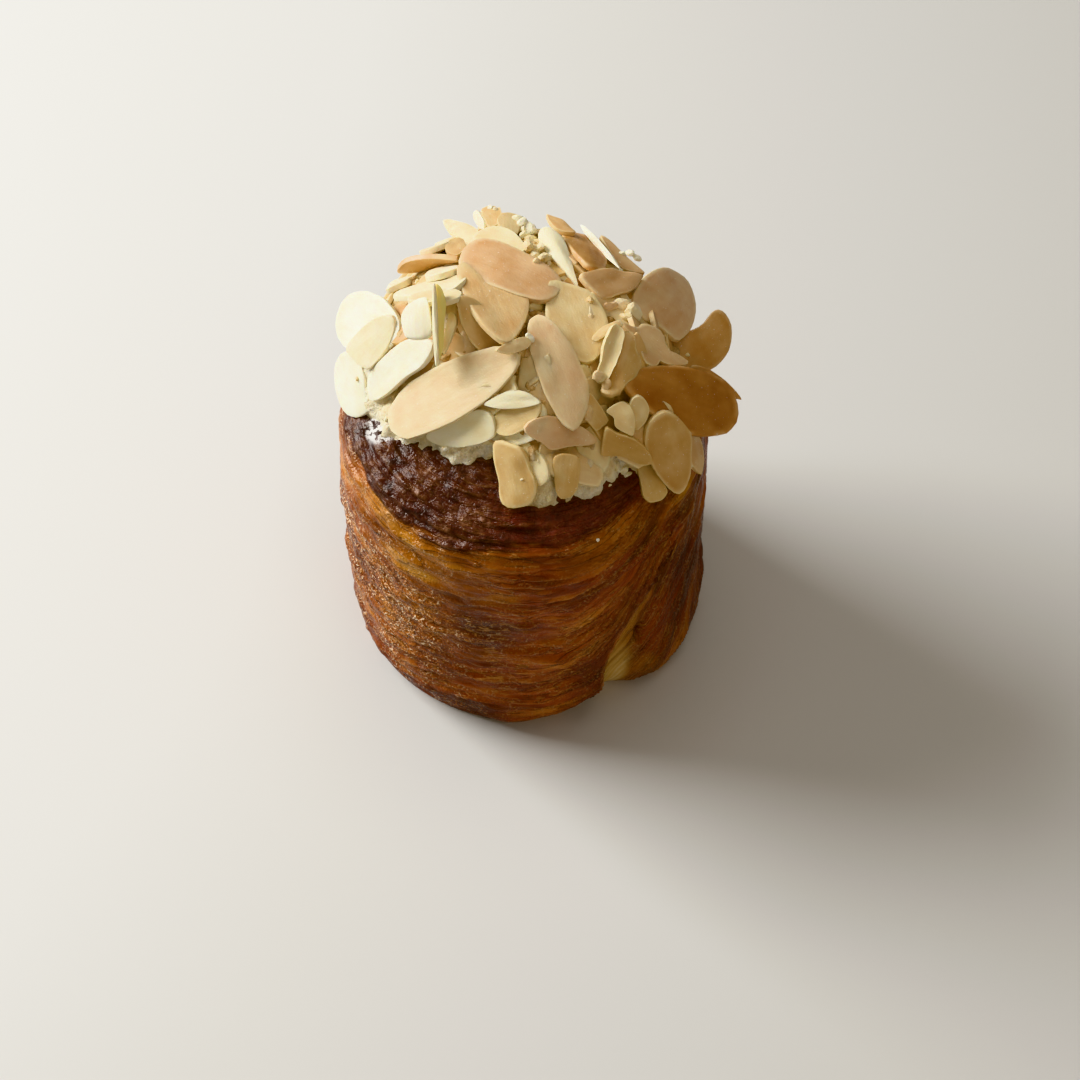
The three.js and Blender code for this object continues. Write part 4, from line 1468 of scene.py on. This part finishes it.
def almondFinish():
    finish, tree, shader = newFinish("toasted almond")
    toast, out, amber, glowThrough = storedColour(tree, "sliceTone")
    place = storedVector(tree, "slicePlace")
    fibres = noise(stretched(place, (0.15, 0.7, 0.5)), 1.0, 3, 0.5)
    clouds = noise(place, 0.22, 3)
    specks = noise(place, 2.6, 1)
    # paler rims: pale cut edges, with a painted rim highlight
    rim = times(span(out, 0.84, 1.0), span(clouds, 0.38, 0.62))
    toasted = plus(less(toast, times(rim, toast, 0.36)), shift(clouds, 0.40), shift(fibres, 0.12))
    colour = paint(amber, ramp(toasted, almondTones["plain"]), ramp(toasted, almondTones["yellower"]))
    # lemon yellow where light glows through a thin sliver: painted light
    colour = paint(times(glowThrough, 0.8), colour, tint(almondTones["glowThrough"]))
    # pale specks: painted glints
    colour = paint(span(specks, 0.71, 0.77, 0.0, 0.5), colour, tint(almondTones["speckGlint"]))
    dress(shader, {"Base Color": colour, "Roughness": span(fibres, 0.3, 0.7, 0.42, 0.58),
                   "Subsurface Weight": 0.22, "Subsurface Radius": (1.0, 0.65, 0.3),
                   "Subsurface Scale": 1.0 * mm})
    emboss(shader, plus(fibres, times(specks, 0.4)), 0.10)
    return finish


almond = almondFinish()
for piece, finish in ((crust, crustFinish()), (cream, creamFinish()), (slices, almond), (crumbs, almond)):
    piece.data.materials.clear()
    piece.data.materials.append(finish)
print("finishes")


# stage: pale floor, a soft window light from the left and a weak fill

letGo()
bpy.ops.mesh.primitive_plane_add(size=6)
floor = bpy.context.object
floor.name = "floor"
finish, tree, shader = newFinish("pale floor")
dress(shader, {"Base Color": tint("#d2cfca"), "Roughness": 0.6})
floor.data.materials.append(finish)

lights = {
    "window": {"place": (-0.58, 0.26, 0.42), "size": 0.40, "power": 9.5, "colour": (0.96, 0.99, 1.0)},
    "room": {"place": (0.25, -0.65, 0.60), "size": 0.7, "power": 1.6, "colour": (1.0, 0.85, 0.66)},
    "ceiling": {"place": (0.1, 0.15, 0.9), "size": 0.6, "power": 1.6, "colour": (1.0, 0.95, 0.86)},
}
for name, light in lights.items():
    toward = np.array([0, 0, 0.05]) - np.array(light["place"])
    bpy.ops.object.light_add(type="AREA", location=light["place"])
    lamp = bpy.context.object
    lamp.name = name
    lamp.data.shape = "SQUARE"
    lamp.data.size = light["size"]
    lamp.data.energy = light["power"]
    lamp.data.color = light["colour"]
    away = math.atan2(math.hypot(toward[0], toward[1]), -toward[2])
    lamp.rotation_euler = (away, 0, math.atan2(toward[1], toward[0]) - math.pi / 2)

room = bpy.data.worlds.new("studio")
room.use_nodes = True
dress(room.node_tree.nodes["Background"], {"Color": (1.0, 0.95, 0.88, 1), "Strength": 0.13})
bpy.context.scene.world = room
bpy.context.scene.view_settings.view_transform = "Khronos PBR Neutral"
print("stage")
